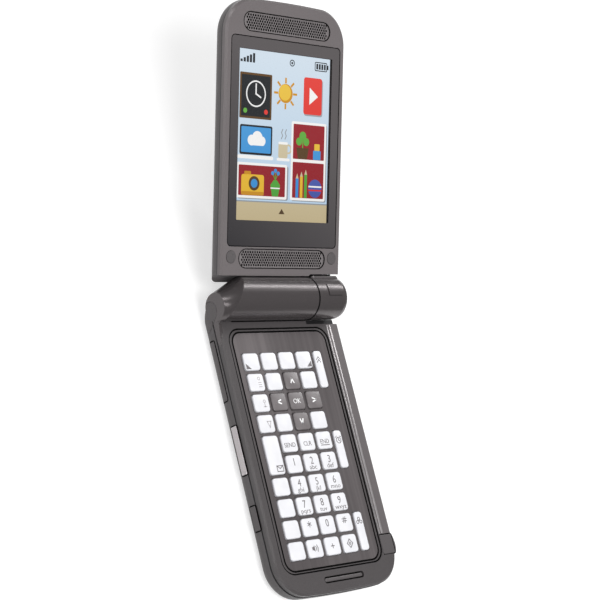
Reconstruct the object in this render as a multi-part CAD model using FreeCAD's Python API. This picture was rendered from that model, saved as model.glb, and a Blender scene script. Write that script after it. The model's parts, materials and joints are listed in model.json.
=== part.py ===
import FreeCAD, Part
import math
import os

# Flip phone with a dual hinge: one barrel hinge opens the lid lengthways, and a swivel
# pin along the lid's right edge opens it sideways. All sizes are in millimetres.
# X runs to the right across the keys, Y from the chin to the hinge, Z up from the back.
# The origin lies on the flat back face, on which the phone rests.

V = FreeCAD.Vector
os.makedirs("parts", exist_ok=True)

# Base, in plan
HALF_W = 26.3            # half width of the rear housing
CHIN_Y = -51.7           # foremost point of the bowed chin
HINGE_Y = 43.8           # axis of the portrait hinge
HINGE_Z = 10.0
FRAME_STEP = 0.2         # the front frame is this much smaller all round
CHIN_BOW = 0.9           # depth of the chin's bow
CHIN_CORNER_R = 10.9
PARTING_Z = 5.4          # where the front frame meets the rear housing
FRAME_TOP = 7.75
FRAME_EDGE = 0.6         # bevel round the frame's face
BACK_EDGE_R = 3.3        # rounding along the back edges of the housing
FLAT_END_Y = HINGE_Y - 5.9   # the flat back ends here and the tail curves up
TAIL_R = 8.3             # radius of the curved tail under the hinge
OVERSHOOT = 1.0          # how far a cutting tool passes the face that it cuts

# Portrait hinge
BARREL_R = 7.1
KNUCKLE_LENGTH = 14.0
KNUCKLE_END_X = HALF_W - 0.4
KNUCKLE_END_R = 2.6
HINGE_GAP = 0.3          # slot between the fixed barrel and the knuckle
BARREL_END_X = KNUCKLE_END_X - KNUCKLE_LENGTH - HINGE_GAP
HINGE_CLEAR_Y = HINGE_Y - BARREL_R - 1.1   # the frame ends square here in front of the knuckle
KNUCKLE_CLEAR = 0.6      # air between the knuckle and the hollow lip of the housing
LIP_END_Y = HINGE_Y - 1.8
OPEN_ANGLE = 22.1        # slope of the open lid above the base plane, in degrees
PIN_R = 2.2
RUN_GAP = 0.08           # radial running clearance of both hinge pins
SEAT_GAP = 0.05          # radial clearance of a pin in its fixed seat
PIN_START_X = BARREL_END_X - 25.6
PIN_END_X = KNUCKLE_END_X - 4.4
SHOULDER_R = 4.6         # small end of the shoulder at the barrel's left
SHOULDER_Y = HINGE_Y - 2.2
SHOULDER_SLOPE = 0.6     # the barrel's left end is cut at this slope in plan
SHOULDER_X = -HALF_W + 1.0   # where that cut passes the barrel's front
SHOULDER_CUT_Y = HINGE_Y - 6.8
FAIRING_LENGTH = 5.5     # slope from the frame's left edge up to the shoulder
FAIRING_LEAN = 165.0     # where the fairing meets the shoulder's small end, in degrees
FAIRING_W = 1.1          # width of the fairing at its foot

# Lid, in its own directions: X across, U up the lid from the hinge, W out of its face
LID_HALF_W = HALF_W - 0.35
LID_FACE_W = 1.45
LID_BACK_W = -5.55
LID_SPLIT_W = -0.65
LID_TOP_U = 94.8
LID_BOW = 0.9
LID_CORNER_R = 11.3
LID_FACE_EDGE = 0.7      # bevel round the lid's face
LID_BACK_EDGE_R = 4.0
LID_END_R = BARREL_R + 0.4   # hollow end of the lid round the barrel
LID_WALL = 1.2

# Knuckle's neck, swivel and pad, in the lid's directions
NECK_X = (BARREL_END_X + 0.6, HALF_W - 1.4)
NECK_U = (BARREL_R - 2.5, BARREL_R + 0.35)
NECK_W = (LID_BACK_W + 1.3, LID_FACE_W + 1.05)
NECK_R = 1.4
NECK_EDGE = 0.7          # bevel round the neck's proud face
LID_NECK_X = BARREL_END_X + 0.1      # right of this the lid ends square above the neck
LID_NECK_U = NECK_U[1] + 0.5
NOTCH_R = 1.2            # inner corner of the lid's notch round the neck
SWIVEL_X = HALF_W - 3.4
SWIVEL_W = -1.45
SWIVEL_R = 1.2
SWIVEL_U = (NECK_U[0] - 2.6, NECK_U[1] + 6.75)
PAD_X = (KNUCKLE_END_X - 9.7, KNUCKLE_END_X - 4.0)
PAD_ANGLES = (50.0, 80.0)
PAD_DEPTH = 0.7
PAD_RISE = 0.25

# What the lid carries
LENS_HALF_X = LID_HALF_W - 2.3
LENS_U = (NECK_U[1] + 9.2, LID_TOP_U - 12.3)
LENS_R = 1.4
LENS_T = 0.8
LENS_SUNK = 0.05
PANEL_HALF_X = LENS_HALF_X - 2.45
PANEL_U = (LENS_U[0] + 7.15, LENS_U[1] - 2.7)
PANEL_T = 1.7
PANEL_GAP = 0.2
GRILLE_U = (NECK_U[1] + 5.3, LID_TOP_U - 7.5)
GRILLE_HALF = (LID_HALF_W - 7.2, 2.95)
GRILLE_T = 0.6
GRILLE_SUNK = 0.25
GRILLE_LEDGE = 0.8
GRILLE_COLUMNS = 11
GRILLE_ROWS = 3
GRILLE_PITCH = (0.16 * GRILLE_HALF[0], 0.475 * GRILLE_HALF[1])
GRILLE_HOLE = (0.7 * GRILLE_PITCH[0], 0.57 * GRILLE_PITCH[1])
SPEAKER = (0.8 * GRILLE_HALF[0], 2 * (GRILLE_HALF[1] - GRILLE_LEDGE) - 0.2, 2.2)
SPEAKER_GAP = 0.1
SCREW_COVER_X = LID_HALF_W - 3.95
SCREW_COVER_U = GRILLE_U[0] + 0.45
SCREW_COVER_R = 1.95
SCREW_COVER_T = 0.7
SCREW_COVER_RISE = 0.1
WINDOW_HALF_X = LID_HALF_W - 12.45
WINDOW_U = (LID_TOP_U - 44.8, LID_TOP_U - 12.8)
WINDOW_R = 4.0
WINDOW_T = 0.7

# Keypad
PLATE_X = (-HALF_W + 4.8, HALF_W - 7.8)
PLATE_Y = (CHIN_Y + 8.6, HINGE_CLEAR_Y - 2.5)
PLATE_TOP = FRAME_TOP - 0.25
PLATE_T = 0.6
PLATE_R = 3.4
PLATE_GROOVE = 0.35
PLATE_LEDGE = 0.7        # shelf of the frame under the plate's edge
RING_X = (1.9, 1.8)      # sunk ring beyond the plate, left and right
RING_Y = (1.4, 1.6)      # and towards the chin and the hinge
RING_R = PLATE_R + 1.4
KEY_COLUMNS = 4
KEY_ROWS = 10
KEY_PITCH_X = 0.19025 * (PLATE_X[1] - PLATE_X[0])
KEY_PITCH_Y = 0.08865 * (PLATE_Y[1] - PLATE_Y[0])
KEY_SPACE_X = 1.19       # bar of the plate between two columns
KEY_SPACE_Y = 1.005
KEY_W = KEY_PITCH_X - KEY_SPACE_X
KEY_H = KEY_PITCH_Y - KEY_SPACE_Y
LEFT_COLUMN_X = PLATE_X[0] + 2.09 + KEY_W / 2
TOP_ROW_Y = PLATE_Y[1] - 6.755 - KEY_H / 2
SIDE_KEY_W = 3.55
SIDE_KEY_X = LEFT_COLUMN_X + (KEY_COLUMNS - 1) * KEY_PITCH_X + (KEY_W + SIDE_KEY_W) / 2 + KEY_SPACE_X + 0.17
KEY_CORNER = 0.5         # clipped off the corners of each key
KEY_TOP = PLATE_TOP + 0.45
KEY_BOTTOM = PLATE_TOP - 1.75
KEY_GAP = 0.12
MAT_T = 0.45
MAT_R = 5.0
MAT_MARGIN = 1.0

# Right rail, its end cap and the chin slot
RAIL_X = (HALF_W - 5.8, HALF_W + 0.2)
RAIL_TOP = FRAME_TOP - 0.25
RAIL_EDGE_R = 0.5 * (RAIL_TOP - PARTING_Z)
RAIL_BEVEL = 0.5
RAIL_END_Y = CHIN_Y + 15.7
CAP_X = HALF_W + 1.3
CAP_Y = CHIN_Y + 9.2
CAP_TOP = FRAME_TOP - 0.25
CAP_R = 0.6 * (CAP_TOP - PARTING_Z)
SLOT_W = 1.9
SLOT_X = (-7.6, 9.4)
SLOT_Y = (CHIN_Y + 3.35, CHIN_Y + 3.35 + SLOT_W)
SLOT_DEPTH = 1.2
SLOT_SUNK = 0.3
MICROPHONE_R = 0.5
JOINT_LINE = 0.1         # visible line between two fitted pieces

# Inside the base
COVER_HALF_X = HALF_W - 5.7
COVER_Y = (CHIN_Y + 15.7, FLAT_END_Y - 11.9)
COVER_T = 0.8
COVER_R = 2.4
GRIP_HALF_X = 6.0        # three grip grooves in the battery cover
GRIP_W = 0.8
GRIP_DEPTH = 0.3
BATTERY_HALF_X = COVER_HALF_X - 1.3
BATTERY_Y = (COVER_Y[0] + 2.5, COVER_Y[1] - 2.5)
BATTERY_T = 2.8
BATTERY_R = 1.0
BATTERY_GAP = 0.3
LAYER_GAP = 0.1          # air between the cover, the battery and the bay's roof
TRAY_Z = PARTING_Z - 1.05    # floor of the board space
BOARD_T = 0.5
BOARD_HALF_X = HALF_W - 2.3
BOARD_Y = (CHIN_Y + 7.2, HINGE_CLEAR_Y - 3.6)
BOARD_R = 7.5
CAVITY_GAP = 0.5
CHIP = (3.5, 9.0)

# Left side
COVER_SKIN = 1.0         # thickness of the port cover and the jack cover
PORT_Y = (HINGE_Y - 31.3, HINGE_Y - 12.0)
PORT_Z = (1.1, 4.15)
PLUG_Y = (PORT_Y[0] + 5.5, PORT_Y[1] - 5.8)
PLUG_Z = (1.8, 3.7)
PLUG_DEPTH = 4.2
PLUG_WALL = 0.5
PLUG_GAP = 0.3
NAIL_SLOT_Y = (PORT_Y[0] + 9.5, PORT_Y[1] - 1.5)   # slit for a nail above the port cover
NAIL_SLOT_H = 0.5
JACK_Y = HINGE_Y - 2.8
JACK_Z = 5.6
JACK_HEAD_R = 3.1
JACK_TIP = (JACK_Y - 5.7, JACK_Z - 2.9)
JACK_TIP_R = 0.5
JACK_BORE_R = 1.75
JACK_BORE_DEPTH = 5.0
ROCKER_Y = (HINGE_Y - 55.2, HINGE_Y - 39.8)
ROCKER_Z = (2.7, 5.2)
SIDE_BUTTON_Y = (ROCKER_Y[0] - 17.6, ROCKER_Y[0] - 10.0)
BUTTON_PROUD = 0.3
BUTTON_T = 1.5
BUTTON_POCKET = 0.6      # room behind a side button
BUTTON_GAP = 0.15
BUTTON_R = 0.35


def box(x, y, z):
    """Box between pairs of limits."""
    return Part.makeBox(x[1] - x[0], y[1] - y[0], z[1] - z[0], V(x[0], y[0], z[0]))


def rounded_wire(x, y, r, z):
    """Rectangle with rounded corners in a plane of constant Z."""
    k = r * (1 - math.sqrt(0.5))
    corners = []
    for cx, cy, sx, sy in ((x[0], y[0], 1, 1), (x[1], y[0], -1, 1), (x[1], y[1], -1, -1), (x[0], y[1], 1, -1)):
        on_x = V(cx + sx * r, cy, z)
        on_y = V(cx, cy + sy * r, z)
        middle = V(cx + sx * k, cy + sy * k, z)
        first_is_y = sx * sy > 0
        corners.append((on_y, middle, on_x) if first_is_y else (on_x, middle, on_y))
    edges = []
    for i, (start, middle, end) in enumerate(corners):
        edges.append(Part.Arc(start, middle, end).toShape())
        edges.append(Part.LineSegment(end, corners[(i + 1) % 4][0]).toShape())
    return Part.Wire(edges)


def slab(x, y, r, z):
    """Plate with rounded corners between two heights."""
    return Part.Face(rounded_wire(x, y, r, z[0])).extrude(V(0, 0, z[1] - z[0]))


def clipped(x, y, size, z):
    """Plate whose four upright corners are clipped straight."""
    plate = box(x, y, z)
    return plate.makeChamfer(size, [e for e in plate.Edges if upright(e)])


def grown(limits, by):
    """Pair of limits moved outwards by a clearance."""
    return (limits[0] - by, limits[1] + by)


def disc(r, start, direction, length):
    return Part.makeCylinder(r, length, start, direction)


def bowed_plate(half_w, y_back, y_front, bow, corner_r, z):
    """Plate whose front edge is bowed, with both front corners rounded."""
    sign = 1 if y_front > y_back else -1
    side_y = y_front - sign * bow
    points = [V(-half_w, y_back, z[0]), V(half_w, y_back, z[0])]
    right = V(half_w, side_y, z[0])
    left = V(-half_w, side_y, z[0])
    edges = [Part.LineSegment(points[0], points[1]).toShape(),
             Part.LineSegment(points[1], right).toShape(),
             Part.Arc(right, V(0, y_front, z[0]), left).toShape(),
             Part.LineSegment(left, points[0]).toShape()]
    plate = Part.Face(Part.Wire(edges)).extrude(V(0, 0, z[1] - z[0]))
    corners = [e for e in plate.Edges if upright(e) and abs(e.Vertexes[0].Y - side_y) < 0.01]
    return plate.makeFillet(corner_r, corners)


def upright(edge):
    a, b = edge.Vertexes[0].Point, edge.Vertexes[-1].Point
    return abs(a.x - b.x) < 1e-6 and abs(a.y - b.y) < 1e-6 and abs(a.z - b.z) > 1e-6


def edges_at_z(shape, z, keep=lambda e: True):
    """Edges that lie wholly at one height."""
    found = []
    for e in shape.Edges:
        b = e.BoundBox
        if abs(b.ZMin - z) < 1e-4 and abs(b.ZMax - z) < 1e-4 and keep(e):
            found.append(e)
    return found


def in_lid(shape):
    """Turn a shape from the lid's own directions to the open lid's place."""
    placed = shape.copy()
    placed.rotate(V(0, 0, 0), V(1, 0, 0), OPEN_ANGLE)
    placed.translate(V(0, HINGE_Y, HINGE_Z))
    return placed


def save(name, shape):
    shape.exportStep("parts/" + name + ".step")


def shoulder():
    """Ruled form from the barrel's slanted end to the small round end at the side wall."""
    center = V(SHOULDER_X + SHOULDER_SLOPE * (HINGE_Y - SHOULDER_CUT_Y), HINGE_Y, HINGE_Z)
    across = V(SHOULDER_SLOPE, 1, 0) * BARREL_R
    ellipse = Part.Ellipse(center + across, center + V(0, 0, BARREL_R), center)
    big, small = [], []
    for i in range(4):
        a, b = i * math.pi / 2, (i + 1) * math.pi / 2
        big.append(Part.ArcOfEllipse(ellipse, a, b).toShape())
        ring = [V(-HALF_W, SHOULDER_Y + SHOULDER_R * math.cos(t), TAIL_R + SHOULDER_R * math.sin(t))
                for t in (a, (a + b) / 2, b)]
        small.append(Part.Arc(*ring).toShape())
    faces = [Part.makeRuledSurface(outer, inner) for outer, inner in zip(big, small)]
    faces += [Part.Face(Part.Wire(edges)) for edges in (big, small)]
    shell = Part.makeShell(faces)
    shell.sewShape()
    return Part.makeSolid(shell)


def shoulder_fairing():
    """Slope that carries the shoulder down into the frame's left edge."""
    lean = math.radians(FAIRING_LEAN)
    top = (SHOULDER_Y + SHOULDER_R * math.cos(lean), TAIL_R + SHOULDER_R * math.sin(lean))
    foot_y = HINGE_CLEAR_Y - FAIRING_LENGTH
    knee = (HINGE_CLEAR_Y + 0.7, FRAME_TOP + 0.35)
    low = PARTING_Z
    outer = [(foot_y, low), (foot_y, FRAME_TOP - FRAME_EDGE), knee, top, (SHOULDER_Y, low)]
    crest = (knee[0] + 0.6, FRAME_TOP + 1.2)
    inner = [(foot_y, low), (foot_y, FRAME_TOP - 0.3), knee, crest, (SHOULDER_Y, low)]
    wires = [Part.makePolygon([V(x, y, z) for y, z in pts + pts[:1]])
             for x, pts in ((-HALF_W + FRAME_STEP, outer), (-HALF_W + FRAME_STEP + FAIRING_W, inner))]
    return Part.makeLoft(wires, True, True)


def barrel_form():
    """Fixed hinge barrel with its shoulder, still without bores."""
    start = -HALF_W - OVERSHOOT
    tube = disc(BARREL_R, V(start, HINGE_Y, HINGE_Z), V(1, 0, 0), BARREL_END_X - start)
    y0, y1 = HINGE_Y - 2 * BARREL_R, HINGE_Y + 2 * BARREL_R
    low = HINGE_Z - 2 * BARREL_R
    cut = [V(SHOULDER_X + SHOULDER_SLOPE * (y - SHOULDER_CUT_Y), y, low) for y in (y0, y1)]
    left = start - HALF_W
    outline = [V(left, y0, low), cut[0], cut[1], V(left, y1, low)]
    wedge = Part.Face(Part.makePolygon(outline + outline[:1])).extrude(V(0, 0, 4 * BARREL_R))
    tube = tube.cut(wedge)
    return tube.fuse(shoulder()).fuse(shoulder_fairing())


def side_profile(z_top):
    """The base seen from the side: flat back, then a round tail up to the hinge."""
    down = V(0, FLAT_END_Y, 0)
    mid_angle = math.radians(-45)
    middle = V(0, FLAT_END_Y + TAIL_R * math.cos(mid_angle), TAIL_R + TAIL_R * math.sin(mid_angle))
    tail = V(0, FLAT_END_Y + TAIL_R, TAIL_R)
    front = CHIN_Y - OVERSHOOT
    edges = [Part.LineSegment(V(0, front, 0), down).toShape(),
             Part.Arc(down, middle, tail).toShape(),
             Part.LineSegment(tail, V(0, FLAT_END_Y + TAIL_R, z_top + TAIL_R)).toShape(),
             Part.LineSegment(V(0, FLAT_END_Y + TAIL_R, z_top + TAIL_R), V(0, front, z_top + TAIL_R)).toShape(),
             Part.LineSegment(V(0, front, z_top + TAIL_R), V(0, front, 0)).toShape()]
    profile = Part.Face(Part.Wire(edges)).extrude(V(2 * (HALF_W + OVERSHOOT), 0, 0))
    profile.translate(V(-HALF_W - OVERSHOOT, 0, 0))
    return profile


def housing_form():
    """Outer form of the rear housing, with its back edges rounded."""
    plate = bowed_plate(HALF_W, FLAT_END_Y + TAIL_R + 1, CHIN_Y, CHIN_BOW, CHIN_CORNER_R, (0, PARTING_Z))
    form = plate.common(side_profile(PARTING_Z))
    if form.ShapeType != "Solid":
        form = form.Solids[0]
    rounded = []
    for e in form.Edges:
        b = e.BoundBox
        at_side = abs(abs(b.XMin) - HALF_W) < 1e-4 and b.XLength < 1e-4 and b.ZMin < 1e-4
        at_chin = b.ZMax < 1e-4 and b.YMax < 0
        if (at_side or at_chin) and not upright(e):
            rounded.append(e)
    return form.makeFillet(BACK_EDGE_R, rounded)


def knuckle_room(from_y):
    """Square space round the knuckle, from one distance backwards."""
    return box((BARREL_END_X + HINGE_GAP / 2, CAP_X + OVERSHOOT),
               (from_y, HINGE_Y + 2 * BARREL_R), (-OVERSHOOT, HINGE_Z + 2 * BARREL_R))


def knuckle_hollow():
    """Round space in the housing in which the knuckle turns, open behind the lip."""
    room = knuckle_room(LIP_END_Y)
    start = BARREL_END_X + HINGE_GAP / 2
    drum = disc(BARREL_R + KNUCKLE_CLEAR, V(start, HINGE_Y, HINGE_Z), V(1, 0, 0), HALF_W + OVERSHOOT - start)
    return room.fuse(drum)


def teardrop(by):
    """Teardrop plate in the left wall, grown by a clearance."""
    x = -HALF_W - OVERSHOOT
    r1, r2 = JACK_HEAD_R + by, JACK_TIP_R + by
    dy, dz = JACK_Y - JACK_TIP[0], JACK_Z - JACK_TIP[1]
    gap = math.hypot(dy, dz)
    base = math.atan2(dz, dy)
    spread = math.acos((r1 - r2) / gap)
    head = lambda t: V(x, JACK_Y + r1 * math.cos(t), JACK_Z + r1 * math.sin(t))
    tip = lambda t: V(x, JACK_TIP[0] + r2 * math.cos(t), JACK_TIP[1] + r2 * math.sin(t))
    back = base + math.pi
    a, b = back - spread, back + spread
    edges = [Part.Arc(head(a), head(base), head(b)).toShape(),
             Part.LineSegment(head(b), tip(b)).toShape(),
             Part.Arc(tip(b), tip(back), tip(a)).toShape(),
             Part.LineSegment(tip(a), head(a)).toShape()]
    return Part.Face(Part.Wire(edges)).extrude(V(COVER_SKIN + OVERSHOOT, 0, 0))


def side_button(y, z):
    """Proud button in the left wall."""
    button = box((-HALF_W - BUTTON_PROUD, -HALF_W - BUTTON_PROUD + BUTTON_T), y, z)
    outer = [e for e in button.Edges if abs(e.BoundBox.XMax + HALF_W + BUTTON_PROUD) < 1e-4]
    return button.makeFillet(BUTTON_R, outer)


def button_pocket(y, z):
    back = -HALF_W - BUTTON_PROUD + BUTTON_T + BUTTON_POCKET
    return box((-HALF_W - OVERSHOOT, back), grown(y, BUTTON_GAP), (z[0] - BUTTON_GAP, PARTING_Z + OVERSHOOT))


def build_housing(form, barrel):
    """Rear housing: battery bay below, board space above, openings in the left wall."""
    bay_top = COVER_T + BATTERY_T + 2 * LAYER_GAP
    shell = form.cut(barrel).cut(knuckle_hollow())
    shell = shell.cut(slab(grown((-COVER_HALF_X, COVER_HALF_X), JOINT_LINE), grown(COVER_Y, JOINT_LINE),
                           COVER_R + JOINT_LINE, (-OVERSHOOT, COVER_T + LAYER_GAP / 2)))
    shell = shell.cut(slab(grown((-BATTERY_HALF_X, BATTERY_HALF_X), BATTERY_GAP),
                           grown(BATTERY_Y, BATTERY_GAP), BATTERY_R + BATTERY_GAP, (-OVERSHOOT, bay_top)))
    shell = shell.cut(slab(grown((-BOARD_HALF_X, BOARD_HALF_X), CAVITY_GAP), grown(BOARD_Y, CAVITY_GAP),
                           BOARD_R + CAVITY_GAP, (TRAY_Z, PARTING_Z + OVERSHOOT)))
    inner = -HALF_W + COVER_SKIN
    shell = shell.cut(box((inner, inner + PLUG_DEPTH + 2 * PLUG_GAP), grown(PLUG_Y, PLUG_GAP),
                          (PLUG_Z[0] - PLUG_GAP, PARTING_Z)))
    shell = shell.cut(port_blank(JOINT_LINE))
    shell = shell.cut(box((-HALF_W - OVERSHOOT, inner), NAIL_SLOT_Y, (PORT_Z[1], PORT_Z[1] + NAIL_SLOT_H)))
    shell = shell.cut(teardrop(JOINT_LINE))
    shell = shell.cut(button_pocket(ROCKER_Y, ROCKER_Z))
    shell = shell.cut(button_pocket(SIDE_BUTTON_Y, ROCKER_Z))
    return shell.cut(jack_bore())


def port_blank(by):
    """Block of the long port cover, grown by a clearance."""
    return box((-HALF_W - OVERSHOOT, -HALF_W + COVER_SKIN), grown(PORT_Y, by), grown(PORT_Z, by))


def build_frame(barrel):
    """Front frame round the keypad, with a sunk ring and a shelf for the plate."""
    half = HALF_W - FRAME_STEP
    plate = bowed_plate(half, HINGE_Y, CHIN_Y + FRAME_STEP, CHIN_BOW, CHIN_CORNER_R, (PARTING_Z, FRAME_TOP))
    edge = edges_at_z(plate, FRAME_TOP, lambda e: e.BoundBox.YMin < HINGE_Y - 1)
    frame = plate.makeChamfer(FRAME_EDGE, edge)
    above = FRAME_TOP + OVERSHOOT
    below = PARTING_Z - OVERSHOOT
    ring_x = (PLATE_X[0] - RING_X[0], PLATE_X[1] + RING_X[1])
    ring_y = (PLATE_Y[0] - RING_Y[0], PLATE_Y[1] + RING_Y[1])
    frame = frame.cut(slab(ring_x, ring_y, RING_R, (PLATE_TOP, above)))
    frame = frame.cut(slab(grown(PLATE_X, PLATE_GROOVE), grown(PLATE_Y, PLATE_GROOVE),
                           PLATE_R + PLATE_GROOVE, (PLATE_TOP - PLATE_T, above)))
    frame = frame.cut(slab(grown(PLATE_X, -PLATE_LEDGE), grown(PLATE_Y, -PLATE_LEDGE),
                           PLATE_R - PLATE_LEDGE, (below, above)))
    frame = frame.cut(box((RAIL_X[0], half + OVERSHOOT), (CAP_Y - JOINT_LINE, HINGE_Y), (below, above)))
    frame = frame.cut(slab(grown(SLOT_X, JOINT_LINE), grown(SLOT_Y, JOINT_LINE),
                           SLOT_W / 2, (FRAME_TOP - SLOT_DEPTH, above)))
    return frame.cut(barrel).cut(knuckle_room(HINGE_CLEAR_Y))


def build_barrel(barrel):
    """Fixed barrel with the pin's seat, the jack bore and the teardrop recess."""
    length = BARREL_END_X - PIN_START_X + OVERSHOOT
    seat = disc(PIN_R + SEAT_GAP, V(PIN_START_X, HINGE_Y, HINGE_Z), V(1, 0, 0), length)
    return barrel.cut(seat).cut(teardrop(JOINT_LINE)).cut(jack_bore())


def jack_bore():
    return disc(JACK_BORE_R, V(-HALF_W, JACK_Y, JACK_Z), V(1, 0, 0), JACK_BORE_DEPTH + COVER_SKIN)


def build_rail():
    """Rounded rail along the right of the keypad."""
    left = RAIL_X[0] + JOINT_LINE
    rail = box((left, RAIL_X[1]), (RAIL_END_Y + JOINT_LINE, HINGE_CLEAR_Y), (PARTING_Z, RAIL_TOP))
    outer = edges_at_z(rail, RAIL_TOP, lambda e: e.BoundBox.XMin > RAIL_X[1] - 0.01)
    rail = rail.makeFillet(RAIL_EDGE_R, outer)
    inner = edges_at_z(rail, RAIL_TOP, lambda e: e.BoundBox.XMax < left + 0.01)
    return rail.makeChamfer(RAIL_BEVEL, inner)


def build_cap():
    """Thumb-sized cap that ends the rail beside the chin."""
    cap = box((RAIL_X[0] + JOINT_LINE, CAP_X), (CAP_Y, RAIL_END_Y), (PARTING_Z, CAP_TOP))
    rounded = edges_at_z(cap, CAP_TOP, lambda e: e.BoundBox.XMin > CAP_X - 0.01)
    corner = [e for e in cap.Edges
              if upright(e) and e.BoundBox.XMin > CAP_X - 0.01 and e.BoundBox.YMax < CAP_Y + 0.01]
    return cap.makeFillet(CAP_R, rounded + corner)


def key_holes():
    """Plan of every key: name, limits across and along."""
    keys = []
    column_x = lambda n: LEFT_COLUMN_X + n * KEY_PITCH_X
    row_y = lambda n: TOP_ROW_Y - (n - 1) * KEY_PITCH_Y
    legend = {(1, 0): "soft_key_left", (1, 3): "soft_key_right",
              (2, 0): "key_mode", (3, 0): "key_voice", (4, 0): "key_speaker",
              (2, 2): "nav_up", (3, 1): "nav_left", (3, 2): "nav_ok", (3, 3): "nav_right", (4, 2): "nav_down",
              (5, 1): "key_send", (5, 2): "key_clear", (5, 3): "key_end",
              (9, 1): "key_star", (9, 2): "key_0", (9, 3): "key_hash",
              (10, 1): "key_tone", (10, 2): "key_plus", (10, 3): "key_at"}
    for digit in range(1, 10):
        legend[(6 + (digit - 1) // 3, 1 + (digit - 1) % 3)] = "key_%d" % digit
    for row in range(1, KEY_ROWS + 1):
        for column in range(KEY_COLUMNS):
            if column > 0 or row not in (5, 6):
                name = legend.get((row, column), "blank_keys")
                keys.append((name, centred(column_x(column), KEY_W), centred(row_y(row), KEY_H)))
    keys.append(("key_message", centred(LEFT_COLUMN_X, KEY_W), tall(row_y(5), row_y(6))))
    for name, row in (("key_link", 1), ("key_clock", 5), ("key_share", 9)):
        keys.append((name, centred(SIDE_KEY_X, SIDE_KEY_W), tall(row_y(row), row_y(row + 1))))
    return keys


def centred(at, size):
    return (at - size / 2, at + size / 2)


def tall(upper, lower):
    """Limits of a key that covers two rows."""
    return (lower - KEY_H / 2, upper + KEY_H / 2)


def build_keys(keys):
    """Key caps by node name; the unmarked keys share one node."""
    caps = {}
    for name, x, y in keys:
        cap = clipped(x, y, KEY_CORNER, (KEY_BOTTOM, KEY_TOP))
        caps.setdefault(name, []).append(cap)
    return {name: Part.makeCompound(solids) if len(solids) > 1 else solids[0] for name, solids in caps.items()}


def build_plate(keys):
    """Thin keypad plate with a hole for each key."""
    bottom = PLATE_TOP - PLATE_T
    plate = slab(PLATE_X, PLATE_Y, PLATE_R, (bottom, PLATE_TOP))
    through = (bottom - OVERSHOOT, PLATE_TOP + OVERSHOOT)
    holes = [clipped(grown(x, KEY_GAP), grown(y, KEY_GAP), KEY_CORNER, through) for _, x, y in keys]
    return plate.cut(Part.makeCompound(holes))


def build_mat():
    """Rubber sheet under the keys, on the board."""
    low = TRAY_Z + BOARD_T + LAYER_GAP / 2
    return slab(grown(PLATE_X, -MAT_MARGIN), grown(PLATE_Y, -MAT_MARGIN - 0.2), MAT_R, (low, low + MAT_T))


def build_board():
    """Circuit board with the data socket under its left edge."""
    top = TRAY_Z + BOARD_T
    board = slab((-BOARD_HALF_X, BOARD_HALF_X), BOARD_Y, BOARD_R, (TRAY_Z + 0.02, top))
    back = -HALF_W + COVER_SKIN + PLUG_GAP
    socket = box((back, back + PLUG_DEPTH), PLUG_Y, (PLUG_Z[0], TRAY_Z + LAYER_GAP))
    mouth = box((back - OVERSHOOT, back + PLUG_DEPTH - 2 * PLUG_WALL), grown(PLUG_Y, -PLUG_WALL),
                grown(PLUG_Z, 0.1 - PLUG_WALL))
    for y in (BATTERY_Y[0] + CHIP[1], sum(BATTERY_Y) / 2, BATTERY_Y[1] - CHIP[1]):
        right = BOARD_HALF_X - 1.0
        chip = box((right - CHIP[0], right), centred(y, CHIP[1]), (top - LAYER_GAP, PARTING_Z - LAYER_GAP))
        board = board.fuse(chip)
    return board.fuse(socket).cut(mouth)


def build_battery():
    low = COVER_T + LAYER_GAP
    return slab((-BATTERY_HALF_X, BATTERY_HALF_X), BATTERY_Y, BATTERY_R, (low, low + BATTERY_T))


def build_battery_cover():
    """Battery cover with three grip grooves near its hinge end."""
    cover = slab((-COVER_HALF_X, COVER_HALF_X), COVER_Y, COVER_R, (0, COVER_T))
    for i in range(3):
        y = COVER_Y[1] - 5 * GRIP_W - 2 * i * GRIP_W
        cover = cover.cut(box((-GRIP_HALF_X, GRIP_HALF_X), centred(y, GRIP_W), (-OVERSHOOT, GRIP_DEPTH)))
    return cover


def build_microphone_port():
    """Sunk bar in the chin slot with the microphone's hole."""
    bottom = FRAME_TOP - SLOT_DEPTH
    bar = slab(SLOT_X, SLOT_Y, SLOT_W / 2 - 0.02, (bottom, FRAME_TOP - SLOT_SUNK))
    place = V(SLOT_X[1] - SLOT_W, sum(SLOT_Y) / 2, bottom - OVERSHOOT)
    return bar.cut(disc(MICROPHONE_R, place, V(0, 0, 1), SLOT_DEPTH + 2 * OVERSHOOT))


def knuckle_drum():
    """Turned drum whose outer end is rounded in three facets."""
    start = BARREL_END_X + HINGE_GAP
    profile = [V(start, 0, 0), V(start, BARREL_R, 0)]
    for turn in (90, 60, 30, 0):
        t = math.radians(turn)
        x = KNUCKLE_END_X - KNUCKLE_END_R * (1 - math.cos(t))
        profile.append(V(x, BARREL_R - KNUCKLE_END_R * (1 - math.sin(t)), 0))
    profile.append(V(KNUCKLE_END_X, 0, 0))
    return Part.Face(Part.makePolygon(profile + profile[:1])).revolve(V(0, 0, 0), V(1, 0, 0), 360)


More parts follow.
